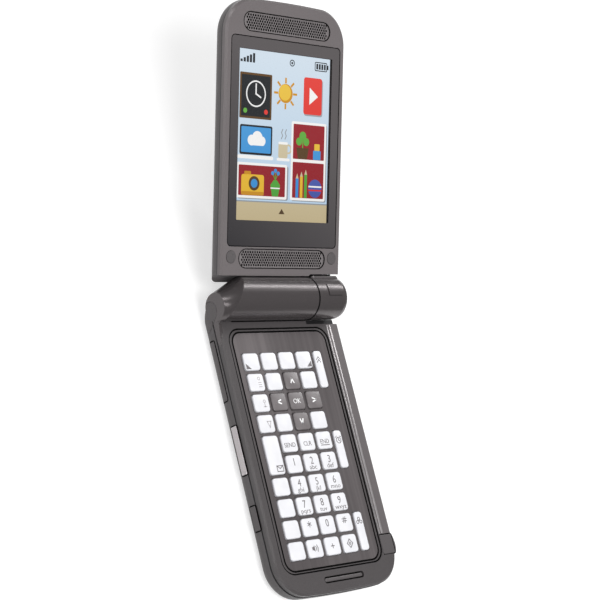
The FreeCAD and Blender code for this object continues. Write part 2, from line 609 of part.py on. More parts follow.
def build_knuckle():
    """Turning knuckle with its neck, in the lid's directions."""
    neck = box(NECK_X, NECK_U, NECK_W)
    corners = [e for e in neck.Edges if upright(e) and e.Vertexes[0].Y > NECK_U[1] - 0.01]
    neck = neck.makeFillet(NECK_R, corners)
    rim = edges_at_z(neck, NECK_W[1], lambda e: e.BoundBox.YMax > NECK_U[0] + 0.01)
    knuckle = knuckle_drum().fuse(neck.makeChamfer(NECK_EDGE, rim))
    start = BARREL_END_X + HINGE_GAP - OVERSHOOT
    bore_end = PIN_END_X + HINGE_GAP
    knuckle = knuckle.cut(disc(PIN_R + RUN_GAP, V(start, 0, 0), V(1, 0, 0), bore_end - start))
    knuckle = knuckle.cut(swivel_pin(SEAT_GAP))
    return knuckle.cut(pad_form(PAD_DEPTH + 0.02, JOINT_LINE))


def pad_form(depth, by):
    """Curved pad let into the knuckle's surface, grown by a clearance."""
    x = grown(PAD_X, by)
    spread = math.degrees(by / BARREL_R)
    turn = PAD_ANGLES[1] - PAD_ANGLES[0] + 2 * spread
    outer = Part.makeCylinder(BARREL_R + PAD_RISE, x[1] - x[0], V(x[0], 0, 0), V(1, 0, 0), turn)
    inner = disc(BARREL_R - depth, V(x[0] - OVERSHOOT, 0, 0), V(1, 0, 0), x[1] - x[0] + 2 * OVERSHOOT)
    pad = outer.cut(inner)
    middle = pad.BoundBox.Center
    now = math.degrees(math.atan2(middle.z, middle.y))
    pad.rotate(V(0, 0, 0), V(1, 0, 0), sum(PAD_ANGLES) / 2 - now)
    return pad


def swivel_pin(by):
    return disc(SWIVEL_R + by, V(SWIVEL_X, SWIVEL_U[0], SWIVEL_W), V(0, 1, 0), SWIVEL_U[1] - SWIVEL_U[0])


def lid_form():
    """Outer form of the whole lid before it is split into front and back."""
    plate = bowed_plate(LID_HALF_W, 0, LID_TOP_U, LID_BOW, LID_CORNER_R, (LID_BACK_W, LID_FACE_W))
    around = lambda e: e.BoundBox.YMax > 1
    plate = plate.makeFillet(LID_BACK_EDGE_R, edges_at_z(plate, LID_BACK_W, around))
    plate = plate.makeChamfer(LID_FACE_EDGE, edges_at_z(plate, LID_FACE_W, around))
    left = -LID_HALF_W - OVERSHOOT
    through = (LID_BACK_W - OVERSHOOT, LID_FACE_W + OVERSHOOT)
    hollow = disc(LID_END_R, V(left, 0, 0), V(1, 0, 0), LID_NECK_X + NOTCH_R - left)
    square = box((LID_NECK_X, LID_HALF_W + OVERSHOOT), (-OVERSHOOT, LID_NECK_U), through)
    inner = [e for e in square.Edges
             if upright(e) and e.BoundBox.XMax < LID_NECK_X + 0.01 and e.BoundBox.YMin > 0]
    square = square.makeFillet(NOTCH_R, inner)
    below = box((left, LID_NECK_X), (-OVERSHOOT, LID_END_R * 0.6), through)
    return plate.cut(hollow).cut(square).cut(below)


def lid_layer(form, w):
    """Part of the lid's form between two depths."""
    return form.common(box(grown((-LID_HALF_W, LID_HALF_W), OVERSHOOT), grown((0, LID_TOP_U), OVERSHOOT), w))


def slot_form(u, half, z):
    """Slot with round ends across the lid."""
    return slab((-half[0], half[0]), (u - half[1], u + half[1]), half[1] - 0.01, z)


def build_lid_front(form):
    """Front shell: lens recess, display window, grille slots, screw wells."""
    above = LID_FACE_W + OVERSHOOT
    below = LID_SPLIT_W - OVERSHOOT
    front = lid_layer(form, (LID_SPLIT_W, above))
    front = front.cut(slab(grown((-LENS_HALF_X, LENS_HALF_X), JOINT_LINE), grown(LENS_U, JOINT_LINE),
                           LENS_R, (LID_FACE_W - LENS_SUNK - LENS_T, above)))
    front = front.cut(slab(grown((-PANEL_HALF_X, PANEL_HALF_X), PANEL_GAP), grown(PANEL_U, PANEL_GAP),
                           LENS_R - 2 * PANEL_GAP, (below, above)))
    grille_seat = LID_FACE_W - GRILLE_SUNK - GRILLE_T
    for u in GRILLE_U:
        recess = [half + JOINT_LINE for half in GRILLE_HALF]
        opening = [half - GRILLE_LEDGE for half in GRILLE_HALF]
        front = front.cut(slot_form(u, recess, (grille_seat, above))).cut(slot_form(u, opening, (below, above)))
    for side in (-1, 1):
        front = front.cut(disc(SCREW_COVER_R + JOINT_LINE, screw_cover_foot(side), V(0, 0, 1), above))
    return front.cut(swivel_pin(RUN_GAP))


def screw_cover_foot(side):
    foot = LID_FACE_W + SCREW_COVER_RISE - SCREW_COVER_T
    return V(side * SCREW_COVER_X, SCREW_COVER_U, foot)


def build_lid_back(form):
    """Back shell: hollow behind the display, with the swivel's boss left solid."""
    above = LID_SPLIT_W + OVERSHOOT
    back = lid_layer(form, (LID_BACK_W - OVERSHOOT, LID_SPLIT_W))
    wall = LID_WALL + 0.3
    inside = slab(grown((-LID_HALF_W, LID_HALF_W), -wall), (LENS_U[0], LID_TOP_U - LID_WALL - LID_BOW - 0.4),
                  LID_CORNER_R - wall - 0.5, (LID_BACK_W + LID_WALL, above))
    back = back.cut(inside)
    length, width, depth = SPEAKER
    back = back.cut(box(centred(0, length + 1), centred(GRILLE_U[0], width + 0.6),
                        (speaker_top() - depth - 2 * SPEAKER_GAP, above)))
    back = back.cut(slab(grown((-WINDOW_HALF_X, WINDOW_HALF_X), JOINT_LINE), grown(WINDOW_U, JOINT_LINE),
                         WINDOW_R + JOINT_LINE, (LID_BACK_W - OVERSHOOT, LID_BACK_W + WINDOW_T)))
    return back.cut(swivel_pin(RUN_GAP))


def speaker_top():
    return LID_FACE_W - GRILLE_SUNK - GRILLE_T - SPEAKER_GAP


def build_lens():
    top = LID_FACE_W - LENS_SUNK
    return slab((-LENS_HALF_X, LENS_HALF_X), LENS_U, LENS_R - JOINT_LINE, (top - LENS_T, top))


def build_panel():
    top = LID_FACE_W - LENS_SUNK - LENS_T - 0.1
    return slab((-PANEL_HALF_X, PANEL_HALF_X), PANEL_U, LENS_R - 3 * PANEL_GAP, (top - PANEL_T, top))


def build_grilles():
    """Perforated speaker grilles at both ends of the lid."""
    top = LID_FACE_W - GRILLE_SUNK
    through = (top - GRILLE_T - OVERSHOOT, top + OVERSHOOT)
    solids = []
    for u in GRILLE_U:
        holes = []
        for row in range(GRILLE_ROWS):
            v = u + (row - (GRILLE_ROWS - 1) / 2) * GRILLE_PITCH[1]
            for column in range(GRILLE_COLUMNS):
                x = (column - (GRILLE_COLUMNS - 1) / 2) * GRILLE_PITCH[0]
                holes.append(box(centred(x, GRILLE_HOLE[0]), centred(v, GRILLE_HOLE[1]), through))
        grille = slot_form(u, GRILLE_HALF, (top - GRILLE_T, top))
        solids.append(grille.cut(Part.makeCompound(holes)))
    return Part.makeCompound(solids)


def build_speakers():
    """One long speaker behind each grille."""
    length, width, depth = SPEAKER
    top = speaker_top()
    depths = (top - depth, top)
    solids = [slab(centred(0, length), centred(u, width), width / 2 - 0.3, depths) for u in GRILLE_U]
    return Part.makeCompound(solids)


def build_screw_covers():
    discs = [disc(SCREW_COVER_R, screw_cover_foot(side), V(0, 0, 1), SCREW_COVER_T) for side in (-1, 1)]
    return Part.makeCompound(discs)


def build_window():
    return slab((-WINDOW_HALF_X, WINDOW_HALF_X), WINDOW_U, WINDOW_R, (LID_BACK_W, LID_BACK_W + WINDOW_T))


def main():
    barrel = barrel_form()
    form = housing_form()
    keys = key_holes()
    save("base_housing", build_housing(form, barrel))
    save("base_frame", build_frame(barrel))
    save("hinge_barrel", build_barrel(barrel))
    save("port_cover", port_blank(0).common(form))
    save("jack_cover", teardrop(0).common(form.fuse(barrel)))
    save("volume_rocker", side_button(ROCKER_Y, ROCKER_Z))
    save("side_button", side_button(SIDE_BUTTON_Y, ROCKER_Z))
    save("right_rail", build_rail())
    save("rail_cap", build_cap())
    save("microphone_port", build_microphone_port())
    save("keypad_plate", build_plate(keys))
    save("key_mat", build_mat())
    save("main_board", build_board())
    save("battery", build_battery())
    save("battery_cover", build_battery_cover())
    save("hinge_pin", disc(PIN_R, V(PIN_START_X, HINGE_Y, HINGE_Z), V(1, 0, 0), PIN_END_X - PIN_START_X))
    for name, shape in build_keys(keys).items():
        save(name, shape)
    lid = lid_form()
    save("hinge_knuckle", in_lid(build_knuckle()))
    save("knuckle_pad", in_lid(pad_form(PAD_DEPTH, 0)))
    save("swivel_pin", in_lid(swivel_pin(0)))
    save("lid_front", in_lid(build_lid_front(lid)))
    save("lid_back", in_lid(build_lid_back(lid)))
    save("display_lens", in_lid(build_lens()))
    save("display_panel", in_lid(build_panel()))
    save("speaker_grilles", in_lid(build_grilles()))
    save("speakers", in_lid(build_speakers()))
    save("screw_covers", in_lid(build_screw_covers()))
    save("outer_window", in_lid(build_window()))


main()
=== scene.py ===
import json
import math

import bmesh
import bpy
from mathutils import Matrix, Vector

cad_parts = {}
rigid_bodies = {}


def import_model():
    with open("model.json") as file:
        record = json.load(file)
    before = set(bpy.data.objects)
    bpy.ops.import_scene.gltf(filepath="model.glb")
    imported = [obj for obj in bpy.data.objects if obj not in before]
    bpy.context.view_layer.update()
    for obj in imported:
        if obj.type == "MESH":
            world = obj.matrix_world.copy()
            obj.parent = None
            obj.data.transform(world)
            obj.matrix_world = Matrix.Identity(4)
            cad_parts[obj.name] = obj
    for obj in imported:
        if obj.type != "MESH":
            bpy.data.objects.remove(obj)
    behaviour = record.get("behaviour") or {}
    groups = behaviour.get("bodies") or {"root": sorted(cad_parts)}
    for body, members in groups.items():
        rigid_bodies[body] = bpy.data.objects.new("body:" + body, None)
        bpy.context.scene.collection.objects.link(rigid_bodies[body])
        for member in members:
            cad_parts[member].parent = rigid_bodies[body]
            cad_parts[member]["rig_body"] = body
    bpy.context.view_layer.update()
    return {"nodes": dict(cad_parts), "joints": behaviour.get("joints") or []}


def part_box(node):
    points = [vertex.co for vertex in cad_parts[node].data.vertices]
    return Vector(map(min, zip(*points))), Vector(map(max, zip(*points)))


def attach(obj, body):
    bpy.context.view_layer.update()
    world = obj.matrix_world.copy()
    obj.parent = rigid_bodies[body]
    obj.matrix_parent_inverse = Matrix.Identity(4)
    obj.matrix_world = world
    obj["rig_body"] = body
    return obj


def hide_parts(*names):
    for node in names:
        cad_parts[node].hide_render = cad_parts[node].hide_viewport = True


bl_info = {
    "name": "Flip Phone",
    "version": (1, 0, 0),
    "blender": (4, 5, 0),
    "location": "View3D > Sidebar > Flip Phone",
    "description": "Dresses the packed flip phone: keys, legends, display, grilles and finishes",
    "category": "Object",
}

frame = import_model()
MM = 0.001

# The open lid's own directions: X across, Y up the lid from the hinge, Z out of its face
JOINTS = {joint["name"]: joint for joint in frame["joints"]}
HINGE = Vector(JOINTS["portrait_flip"]["pos_m"])
SWIVEL_AXIS = JOINTS["landscape_flip"]["axis"]
LID_SLOPE = math.atan2(-SWIVEL_AXIS[2], -SWIVEL_AXIS[1])
LID_PLACE = Matrix.Translation(HINGE) @ Matrix.Rotation(LID_SLOPE, 4, "X")

# Places and sizes, in millimetres unless said otherwise
LID_SPLIT = -0.65            # where the lid's front and back shells meet
BASE_SPLIT = 5.4             # where the front frame meets the rear housing
SEAM_HALF = 0.16             # half the width of the line between two shells
BACK_EDGE = 3.3              # rounding between the housing's side and its back
INK = 0.03                   # height of a printed legend
LIT_AREA = (-20.2, 20.2, 24.85, 78.7)      # left, right, foot and head of the picture on the lid
GLOW_RUN = (24.0, 79.0)      # heights on the lid between which a lit colour changes
# The lens grows paler across this run with a painted reflection
SHEEN_RUN = ((-24, 24), (58, 120))         # where the lens grows paler, across and along the open phone
SAME = 1e-7                  # heights closer than this, in metres, are the same
SMOOTH_TO = 35               # degrees between two faces, past which their edge stays sharp

# Black rings of painted shade round the keypad plate, in its groove and over the ring beyond it: reach past
# its left, front, right and rear edges, corner, width, and lowest and highest level over the plate's face
PLATE_SHADE_RINGS = (((0.6, 0.6, 0.6, 0.6), 4.0, 0.55, (-0.2, 0.02)),
           ((1.9, 1.4, 1.8, 1.6), 4.8, 0.5, (-0.01, 0.03)))
# Black strip of painted shadow under the fixed barrel, from its lowest to its highest corner
BARREL_FOOT_SHADOW = ((-20.5, -7.05, 7.6), (11.3, -6.05, 8.9))    # Y counts from the hinge line
# The bright lines are partly a painted highlight along the rail's bevelled edge
RAIL_LINES = ((0.1, 0.75), (1.25, 2.1))    # left and right sides of the bright lines, from the rail's edge
# Black disc of painted shade in the gap between the barrel and the knuckle
BARREL_GAP_SHADE = (7.14, -0.42, 0.12)        # radius, and its two faces from the knuckle's end
# Black block of painted shade in the gap between the knuckle's neck and the lid
SWIVEL_GAP_SHADE = ((12.6, 7.3, -3.9), (21.6, 7.86, 1.3))     # in the lid's directions
SIDE_GAP = 0.4               # from a side piece to the outer edge of its joint line
CAP_CROWN = 0.62             # share of the thumb cap's overhang that its crown takes
GRILLE_END = 2.95            # radius of a grille's round ends
GRILLE_ROWS, GRILLE_COLUMNS = 6, 35
ROW_STEP = 0.82              # distance between two rows, as a share of that between two holes
HOLE_STRETCH = 1.15          # height of a hole over its width
PICTURE_STEP = 0.02          # height from one layer of the picture to the next

# Key grid: a marked key in each column and row shows where the unmarked ones lie
COLUMNS = {"A": "key_mode", "B": "key_send", "C": "key_clear", "D": "key_end"}
ROWS = {1: "soft_key_left", 2: "key_mode", 3: "key_voice", 4: "key_speaker", 5: "key_send",
        6: "key_1", 7: "key_4", 8: "key_7", 9: "key_star", 10: "key_tone"}
BLANKS = ("B1", "C1", "B2", "D2", "B4", "D4", "A7", "A8", "A9", "A10")
NAV_KEYS = ("nav_up", "nav_left", "nav_ok", "nav_right", "nav_down")
LETTERS = {"key_2": "abc", "key_3": "def", "key_4": "ghi", "key_5": "jkl", "key_6": "mno",
           "key_7": "pqrs", "key_8": "tuv", "key_9": "wxyz"}
CAP_HEIGHT = 0.73            # height of a capital of the built-in font at size 1
# The rim's material is a darker copy of the face: painted shade on the rounded edge
INK_GREY, INK_PALE, RIM_SHADE = 1, 2, 3          # a key's materials after its face

# Key symbols, drawn in millimetres from the key's middle: lines through points, rings (x, y, radius),
# areas inside corners, or one word
SYMBOLS = {
    "key_send": {"word": "SEND"},
    "key_clear": {"word": "CLR"},
    "key_end": {"word": "END", "word_up": -0.06, "lines": [[(-1.7, -1.6), (1.7, -1.6)]]},
    "key_star": {"weight": 0.85, "lines": [[(0, 0.05), (0, 1.75)], [(-0.7361, 0.475), (0.7361, 1.325)],
                                           [(-0.7361, 1.325), (0.7361, 0.475)]]},
    "key_hash": {"weight": 0.85, "lines": [[(-0.5, -0.1), (-0.2, 1.7)], [(-0.95, 0.45), (0.95, 0.45)],
                                           [(0.2, -0.1), (0.5, 1.7)], [(-0.95, 1.15), (0.95, 1.15)]]},
    "key_plus": {"lines": [[(-0.65, 0), (0.65, 0)], [(0, -0.65), (0, 0.65)]]},
    # Small horn with two waves
    "key_tone": {"areas": [[(-1.2, -0.5), (-1.2, 0.5), (-0.7, 0.5), (-0.1, 1.0), (-0.1, -1.0), (-0.7, -0.5)]],
                 "lines": [[(0.4, -0.6), (0.6, 0), (0.4, 0.6)], [(0.95, -1.0), (1.25, 0), (0.95, 1.0)]]},
    # Tilted square with a ring in it
    "key_at": {"lines": [[(0, 1.35), (1.2, 0), (0, -1.35), (-1.2, 0), (0, 1.35)]], "rings": [(0, 0, 0.5)]},
    # Two slanted chevrons at the head of the tall key
    "key_link": {"lines": [[(-0.8, 2.3), (0.1, 3.2), (0.8, 2.3)], [(-0.8, 3.3), (0.1, 4.2), (0.8, 3.3)]]},
    "key_clock": {"rings": [(0, 2.9, 1.1)],
                  "lines": [[(0, 2.9), (0, 3.5)], [(0, 2.9), (0.45, 2.7)], [(-1.15, 3.9), (-0.75, 4.25)],
                            [(1.15, 3.9), (0.75, 4.25)]]},
    # Three linked rings at the head of the tall key
    "key_share": {"rings": [(-0.7, 2.9, 0.62), (0.7, 2.9, 0.62), (0, 3.9, 0.62)]},
    # Envelope in the lower right corner
    "key_message": {"lines": [[(0, -5.3), (2.5, -5.3), (2.5, -3.5), (0, -3.5), (0, -5.3)],
                              [(0, -3.5), (1.25, -4.4), (2.5, -3.5)]]},
    # Ring and bars along the right side
    "key_mode": {"ink": INK_PALE, "rings": [(1.2, 1.2, 0.6)],
                 "lines": [[(0.8, -0.1), (1.9, -0.1)], [(0.8, -0.8), (1.9, -0.8)],
                           [(0.8, -1.5), (1.9, -1.5)]]},
    # Small microphone
    "key_voice": {"ink": INK_PALE, "rings": [(1.3, 0.5, 0.55)],
                  "lines": [[(1.3, -0.2), (1.3, -1.3)], [(0.7, -1.3), (1.9, -1.3)]]},
    "key_speaker": {"ink": INK_PALE, "lines": [[(0.5, 0.7), (2.0, 0.7), (1.25, -1.2), (0.5, 0.7)]]},
}


# Colours and materials

# Colours of the display, each at its foot and its head
LIT_COLOURS = {
    "sky": ("#b9d3ea", "#dbe9f5"), "ink": ("#17191c", "#24272b"), "paper": ("#f6f5f2", "#ffffff"),
    "gold": ("#e2b023", "#f6cf52"), "amber": ("#c58a1c", "#d99a25"), "crimson": ("#8f1621", "#a32a33"),
    "red": ("#d9221f", "#ef4a41"), "azure": ("#2a86cf", "#5fb1ea"), "indigo": ("#3a4a9c", "#6d80cf"),
    "leaf": ("#3f9a35", "#7cc24f"), "sand": ("#c2b28c", "#e6dcc0"), "wood": ("#4d3a22", "#6b4a22"),
    "mist": ("#8f9499", "#a9aeb4"),
}
MIDDLE = (0.35, 0.65)        # values of a noise between which a colour changes


def linear(code):
    """Linear colour of an sRGB hex value."""
    values = [int(code[i:i + 2], 16) / 255 for i in (1, 3, 5)]
    return [v / 12.92 if v <= 0.04045 else ((v + 0.055) / 1.055) ** 2.4 for v in values] + [1.0]


def add(tree, kind, settings=None, inputs=None):
    """Add a node with its settings, and its values or links by input name or number."""
    node = tree.nodes.new(kind)
    for key, value in (settings or {}).items():
        setattr(node, key, value)
    for key, value in (inputs or {}).items():
        if isinstance(value, bpy.types.NodeSocket):
            tree.links.new(value, node.inputs[key])
        else:
            node.inputs[key].default_value = value
    return node


def blank_material(name, sockets):
    """Material with an output and one shader that has the given constants."""
    material = bpy.data.materials.new(name)
    material.use_nodes = True
    tree = material.node_tree
    tree.nodes.clear()
    shader = add(tree, "ShaderNodeBsdfPrincipled", inputs=sockets)
    add(tree, "ShaderNodeOutputMaterial", inputs={"Surface": shader.outputs["BSDF"]})
    return material, tree, shader


def grain(tree, size_mm, stretch=(1, 1, 1), detail=2.0):
    """Noise whose features are about the given size, drawn out along chosen axes."""
    place = add(tree, "ShaderNodeTexCoord").outputs["Object"]
    if stretch != (1, 1, 1):
        place = add(tree, "ShaderNodeMapping",
                    inputs={"Vector": place, "Scale": [1 / s for s in stretch]}).outputs["Vector"]
    noise = add(tree, "ShaderNodeTexNoise",
                inputs={"Vector": place, "Scale": 1 / (size_mm * MM), "Detail": detail})
    return noise.outputs["Fac"]


def with_seam(tree, colour, direction, through):
    """Colour with a thin dark line of painted shade, for the joint, where the plane across a direction cuts
    the surface.
    """
    place = add(tree, "ShaderNodeTexCoord").outputs["Object"]
    along = add(tree, "ShaderNodeVectorMath", {"operation": "DOT_PRODUCT"}, {0: place, 1: direction})
    near = add(tree, "ShaderNodeMath", {"operation": "COMPARE"},
               {0: along.outputs["Value"], 1: through, 2: SEAM_HALF * MM})
    # The dark colour is painted shade in the joint between two shells
    mix = add(tree, "ShaderNodeMix", {"data_type": "RGBA"},
              {0: near.outputs[0], 6: colour, 7: linear("#1a191b")})
    return mix.outputs[2]


def dress(tree, shader, colour=None, gloss=None, relief=None, seam=None, socket="Base Color"):
    """Give a shader its colour (pattern, dark, light, low, high), its gloss (pattern, smoothest,
    roughest) and its relief (pattern, depth in mm, strength). A colour is a hex value or linear."""
    if colour:
        pattern, *codes, low, high = colour
        ramp = add(tree, "ShaderNodeValToRGB", inputs={"Fac": pattern})
        for k, place in enumerate((low, high)):
            ramp.color_ramp.elements[k].position = place
            ramp.color_ramp.elements[k].color = linear(codes[k]) if isinstance(codes[k], str) else codes[k]
        shown = ramp.outputs["Color"]
        tree.links.new(with_seam(tree, shown, *seam) if seam else shown, shader.inputs[socket])
    if gloss:
        pattern, low, high = gloss
        spread = add(tree, "ShaderNodeMapRange", inputs={"Value": pattern, "To Min": low, "To Max": high})
        tree.links.new(spread.outputs["Result"], shader.inputs["Roughness"])
    if relief:
        pattern, depth_mm, strength = relief
        bump = add(tree, "ShaderNodeBump",
                   inputs={"Height": pattern, "Strength": strength, "Distance": depth_mm * MM})
        tree.links.new(bump.outputs["Normal"], shader.inputs["Normal"])


def satin_paint(name, dark, light, roughness=0.42, metallic=0.15, flake_relief=0.12, seam=None):
    """Metallic paint sprayed on moulded plastic, under a satin clear coat."""
    material, tree, shader = blank_material(name, {"Metallic": metallic, "Coat Weight": 0.15,
                                                   "Coat Roughness": 0.25})
    flake = grain(tree, 0.16, detail=1.0)    # real flake is near 0.03 mm, and is drawn coarser to show
    dress(tree, shader, (flake, dark, light, *MIDDLE),
          (grain(tree, 9.0), roughness - 0.05, roughness + 0.05),
          (flake, 0.01, flake_relief) if flake_relief else None, seam)
    return material


def textured_solid(name, dark, light, roughness=0.5, texture_mm=0.3, ior=1.5):
    """Plastic, rubber, film, ink or painted shade, with a fine even texture. The real one is near 0.05 mm,
    and is drawn coarser to show."""
    material, tree, shader = blank_material(name, {"IOR": ior})
    texture = grain(tree, texture_mm)
    dress(tree, shader, (texture, dark, light, *MIDDLE),
          (grain(tree, 7.0), roughness - 0.06, roughness + 0.06), (texture, 0.02, 0.25))
    return material


def brushed_metal(name, dark, light, roughness, line_mm, length_mm, metallic):
    """Metal brushed or ground along Y. Real lines are near 0.05 mm apart, and are drawn coarser to
    show, with wider bands where the belt pressed harder."""
    material, tree, shader = blank_material(name, {"Metallic": metallic, "Anisotropic": 0.5})
    lines = grain(tree, line_mm, (1, length_mm / line_mm, 1), 3.0)
    bands = grain(tree, 2.5, (1, 40, 1), 1.0)
    both = add(tree, "ShaderNodeMath", {"operation": "MULTIPLY_ADD"}, {0: lines, 1: 0.5, 2: bands})
    share = add(tree, "ShaderNodeMath", {"operation": "DIVIDE"}, {0: both.outputs[0], 1: 1.5})
    dress(tree, shader, (share.outputs[0], dark, light, 0.3, 0.7),
          (lines, roughness - 0.08, roughness + 0.08), (lines, 0.01, 0.15))
    return material


def key_plastic(name, dark, light):
    """Polycarbonate, moulded and lacquered, with the faint clouds of a lit cap."""
    material, tree, shader = blank_material(name, {"IOR": 1.58, "Coat Weight": 0.2, "Coat Roughness": 0.15})
    dress(tree, shader, (grain(tree, 4.0, detail=1.0), dark, light, *MIDDLE),
          (grain(tree, 1.2), 0.25, 0.38))
    return material


def clear_acrylic(name, tint, clearness):
    """Cast acrylic without a print."""
    material, tree, shader = blank_material(name, {"Base Color": linear(tint), "Alpha": 1 - clearness,
                                                   "IOR": 1.49})
    dress(tree, shader, gloss=(grain(tree, 5.0), 0.04, 0.09))
    return material


def acrylic_print_painted_sheen(name, dark, light):
    """Cast acrylic printed on its back, a little paler towards its far right corner with a painted
    reflection.
    """
    material, tree, shader = blank_material(name, {"IOR": 1.49, "Coat Weight": 0.3, "Coat Roughness": 0.1})
    place = add(tree, "ShaderNodeSeparateXYZ", inputs={0: add(tree, "ShaderNodeTexCoord").outputs["Object"]})
    across, along = (add(tree, "ShaderNodeMapRange", inputs={"Value": place.outputs[axis],
                                                             "From Min": low * MM, "From Max": high * MM})
                     for axis, (low, high) in zip("XY", SHEEN_RUN))
    both = add(tree, "ShaderNodeMath", {"operation": "MULTIPLY_ADD"},
               {0: across.outputs["Result"], 1: 0.5, 2: along.outputs["Result"]})
    dress(tree, shader, (both.outputs[0], dark, light, 0.0, 1.0), (grain(tree, 6.0), 0.22, 0.3))
    return material


def lit_colour(name, foot_code, head_code):
    """Lit area of the display, whose colour runs from its foot to its head."""
    material, tree, shader = blank_material(name, {"Base Color": linear("#000000"), "Roughness": 0.4,
                                                   "Emission Strength": 1.0})
    place = add(tree, "ShaderNodeSeparateXYZ", inputs={0: add(tree, "ShaderNodeTexCoord").outputs["Object"]})
    foot, head = ((LID_PLACE @ Vector((0, u * MM, 0))).y for u in GLOW_RUN)
    run = add(tree, "ShaderNodeMapRange",
              inputs={"Value": place.outputs["Y"], "From Min": foot, "From Max": head})
    dress(tree, shader, (run.outputs["Result"], foot_code, head_code, 0.0, 1.0), socket="Emission Color")
    return material


def tones(colour, share):
    """Darker and lighter tone of a colour from the settings."""
    return [value * share for value in colour[:3]] + [1.0], list(colour)


def make_finishes():
    """All finishes of the phone, by short name."""
    chosen = bpy.context.scene.flip_phone
    lid_out = LID_PLACE.to_3x3() @ Vector((0, 0, 1))
    lid_seam = (tuple(lid_out), lid_out.dot(HINGE) + LID_SPLIT * MM)
    base_seam = ((0, 0, 1), BASE_SPLIT * MM)
    return {
        # Satin metallic paint on polycarbonate: warm grey, with wide soft highlights and a faint sparkle
        "lid": satin_paint("satin_metallic_paint_lid", *tones(chosen.lid_paint, 0.825), seam=lid_seam),
        "frame": satin_paint("satin_metallic_paint_frame", *tones(chosen.frame_paint, 0.78), seam=base_seam),
        "trim": satin_paint("satin_metallic_paint_trim", "#555152", "#5e5a5b", 0.4),
        # The same paint, polished on the hinge: one clear bright band down each barrel
        "hinge": satin_paint("polished_metallic_paint_hinge", "#555051", "#5c5758", 0.25, 0.55, 0.0),
        # The same paint on a die-cast magnesium rail: a slightly sharper edge of light
        "rail": satin_paint("satin_metallic_paint_rail", "#615c5d", "#6b6667", 0.4),
        # Soft-touch paint on moulded shells and covers: darker and dull, with no sharp highlight
        "lid_back": satin_paint("soft_touch_paint_lid_back", "#4f4b4c", "#585455", 0.5, 0.05, seam=lid_seam),
        "housing": satin_paint("soft_touch_paint_housing", "#4f4b4c", "#585455", 0.5, 0.05, seam=base_seam),
        "cover": satin_paint("soft_touch_paint_covers", "#524e4f", "#5c5758", 0.5, 0.2),
        # Silver paint on the moulded rocker: the one pale spot on the side
        "silver": satin_paint("silver_metallic_paint_rocker", "#b3adaf", "#c6c1c2", 0.4, 0.5),
        # Brushed aluminium sheet: fine upright lines behind the keys, which streak the light
        "plate": brushed_metal("brushed_aluminium_keypad_plate", "#656061", "#777172", 0.36, 0.35, 60.0, 0.6),
        # Ground steel: short bright lines on the pins
        "steel": brushed_metal("ground_steel_pins", "#8d8f92", "#b4b6b9", 0.3, 0.2, 4.0, 1.0),
        # Pale metal: two thin bright lines down the rail, partly a painted highlight along its bevelled edge
        "bright": brushed_metal("pale_metal_lines_on_rail_painted_highlight", "#9d999a", "#b4b0b1", 0.34, 0.2, 30.0, 0.7),
        # Moulded silicone, lit from below: milky and dull between the keys
        "rubber": textured_solid("moulded_silicone_rubber_key_mat", "#cfcfd2", "#dcdcdf", 0.6),
        # Solder mask coated over glass laminate: green, with the 0.8 mm weave just showing
        "board": textured_solid("solder_masked_glass_laminate_board", "#1f4a35", "#2b5b43", 0.45, 0.8),
        # Shrink film round the cell: near black and slightly slack
        "battery": textured_solid("film_wrapped_lithium_cell", "#2b2b2e", "#3a3a3e", 0.5),
        # Moulded ABS, unpainted: the black of openings and of the display's frame
        "dark": textured_solid("moulded_black_abs", "#101011", "#161618", 0.75),
        # Painted shade: black with almost no gloss, put in the gaps, joints, grooves and holes where shadow
        # falls
        "gap": textured_solid("black_painted_gap_shade", "#050505", "#090909", 0.95, 0.3, 1.15),
        # Perforated steel with sprayed paint, whose webs match the lid; the holes are dark with painted shade
        # on their walls
        "grille": textured_solid("sprayed_perforated_steel_grille", "#6b6667", "#757071", 0.45, 0.2),
        # Moulded rubber plugs: a shade darker than the lid, and dull
        "disc": textured_solid("moulded_rubber_screw_plugs", "#4c4849", "#555152", 0.6),
        # Printed ink: flat tones, grey on the white keys and white on the grey ones
        "legend": textured_solid("printed_grey_legend_ink", "#6b6769", "#757173", 0.6),
        "legend_pale": textured_solid("printed_pale_grey_legend_ink", "#b2aeb1", "#bab6b9", 0.6),
        "legend_white": textured_solid("printed_white_legend_ink", "#eeeeee", "#f8f8f8", 0.6),
        # Lacquered polycarbonate caps: smooth white or grey faces, with rims darker by painted shade where
        # their rounding turns from the light
        "keys": key_plastic("lacquered_polycarbonate_keys", *tones(chosen.key_face, 0.952)),
        "key_rim_shade": key_plastic("painted_shade_on_white_key_edges", "#c6c6cb", "#cfcfd4"),
        "nav": key_plastic("grey_lacquered_polycarbonate_nav_keys", "#6e696a", "#787374"),
        "nav_rim_shade": key_plastic("painted_shade_on_grey_nav_key_edges", "#5d5859", "#666162"),
        # Cast acrylic, printed dark on its back: a deep border with a soft gloss, paler towards one corner
        # with a painted reflection
        "window": acrylic_print_painted_sheen("back_printed_acrylic_outer_window", "#1b1a1c", "#252427"),
        "lens": acrylic_print_painted_sheen("back_printed_acrylic_lens", "#2c2a2d", "#555152"),
        # The same acrylic left clear over the picture: seen only by its gloss
        "glass": clear_acrylic("clear_cast_acrylic_lens_window", "#101012", 0.95),
        # Light of the backlit display through its filters: even colours that no lamp changes
        **{colour: lit_colour("lit_display_" + colour, *codes) for colour, codes in LIT_COLOURS.items()},
    }


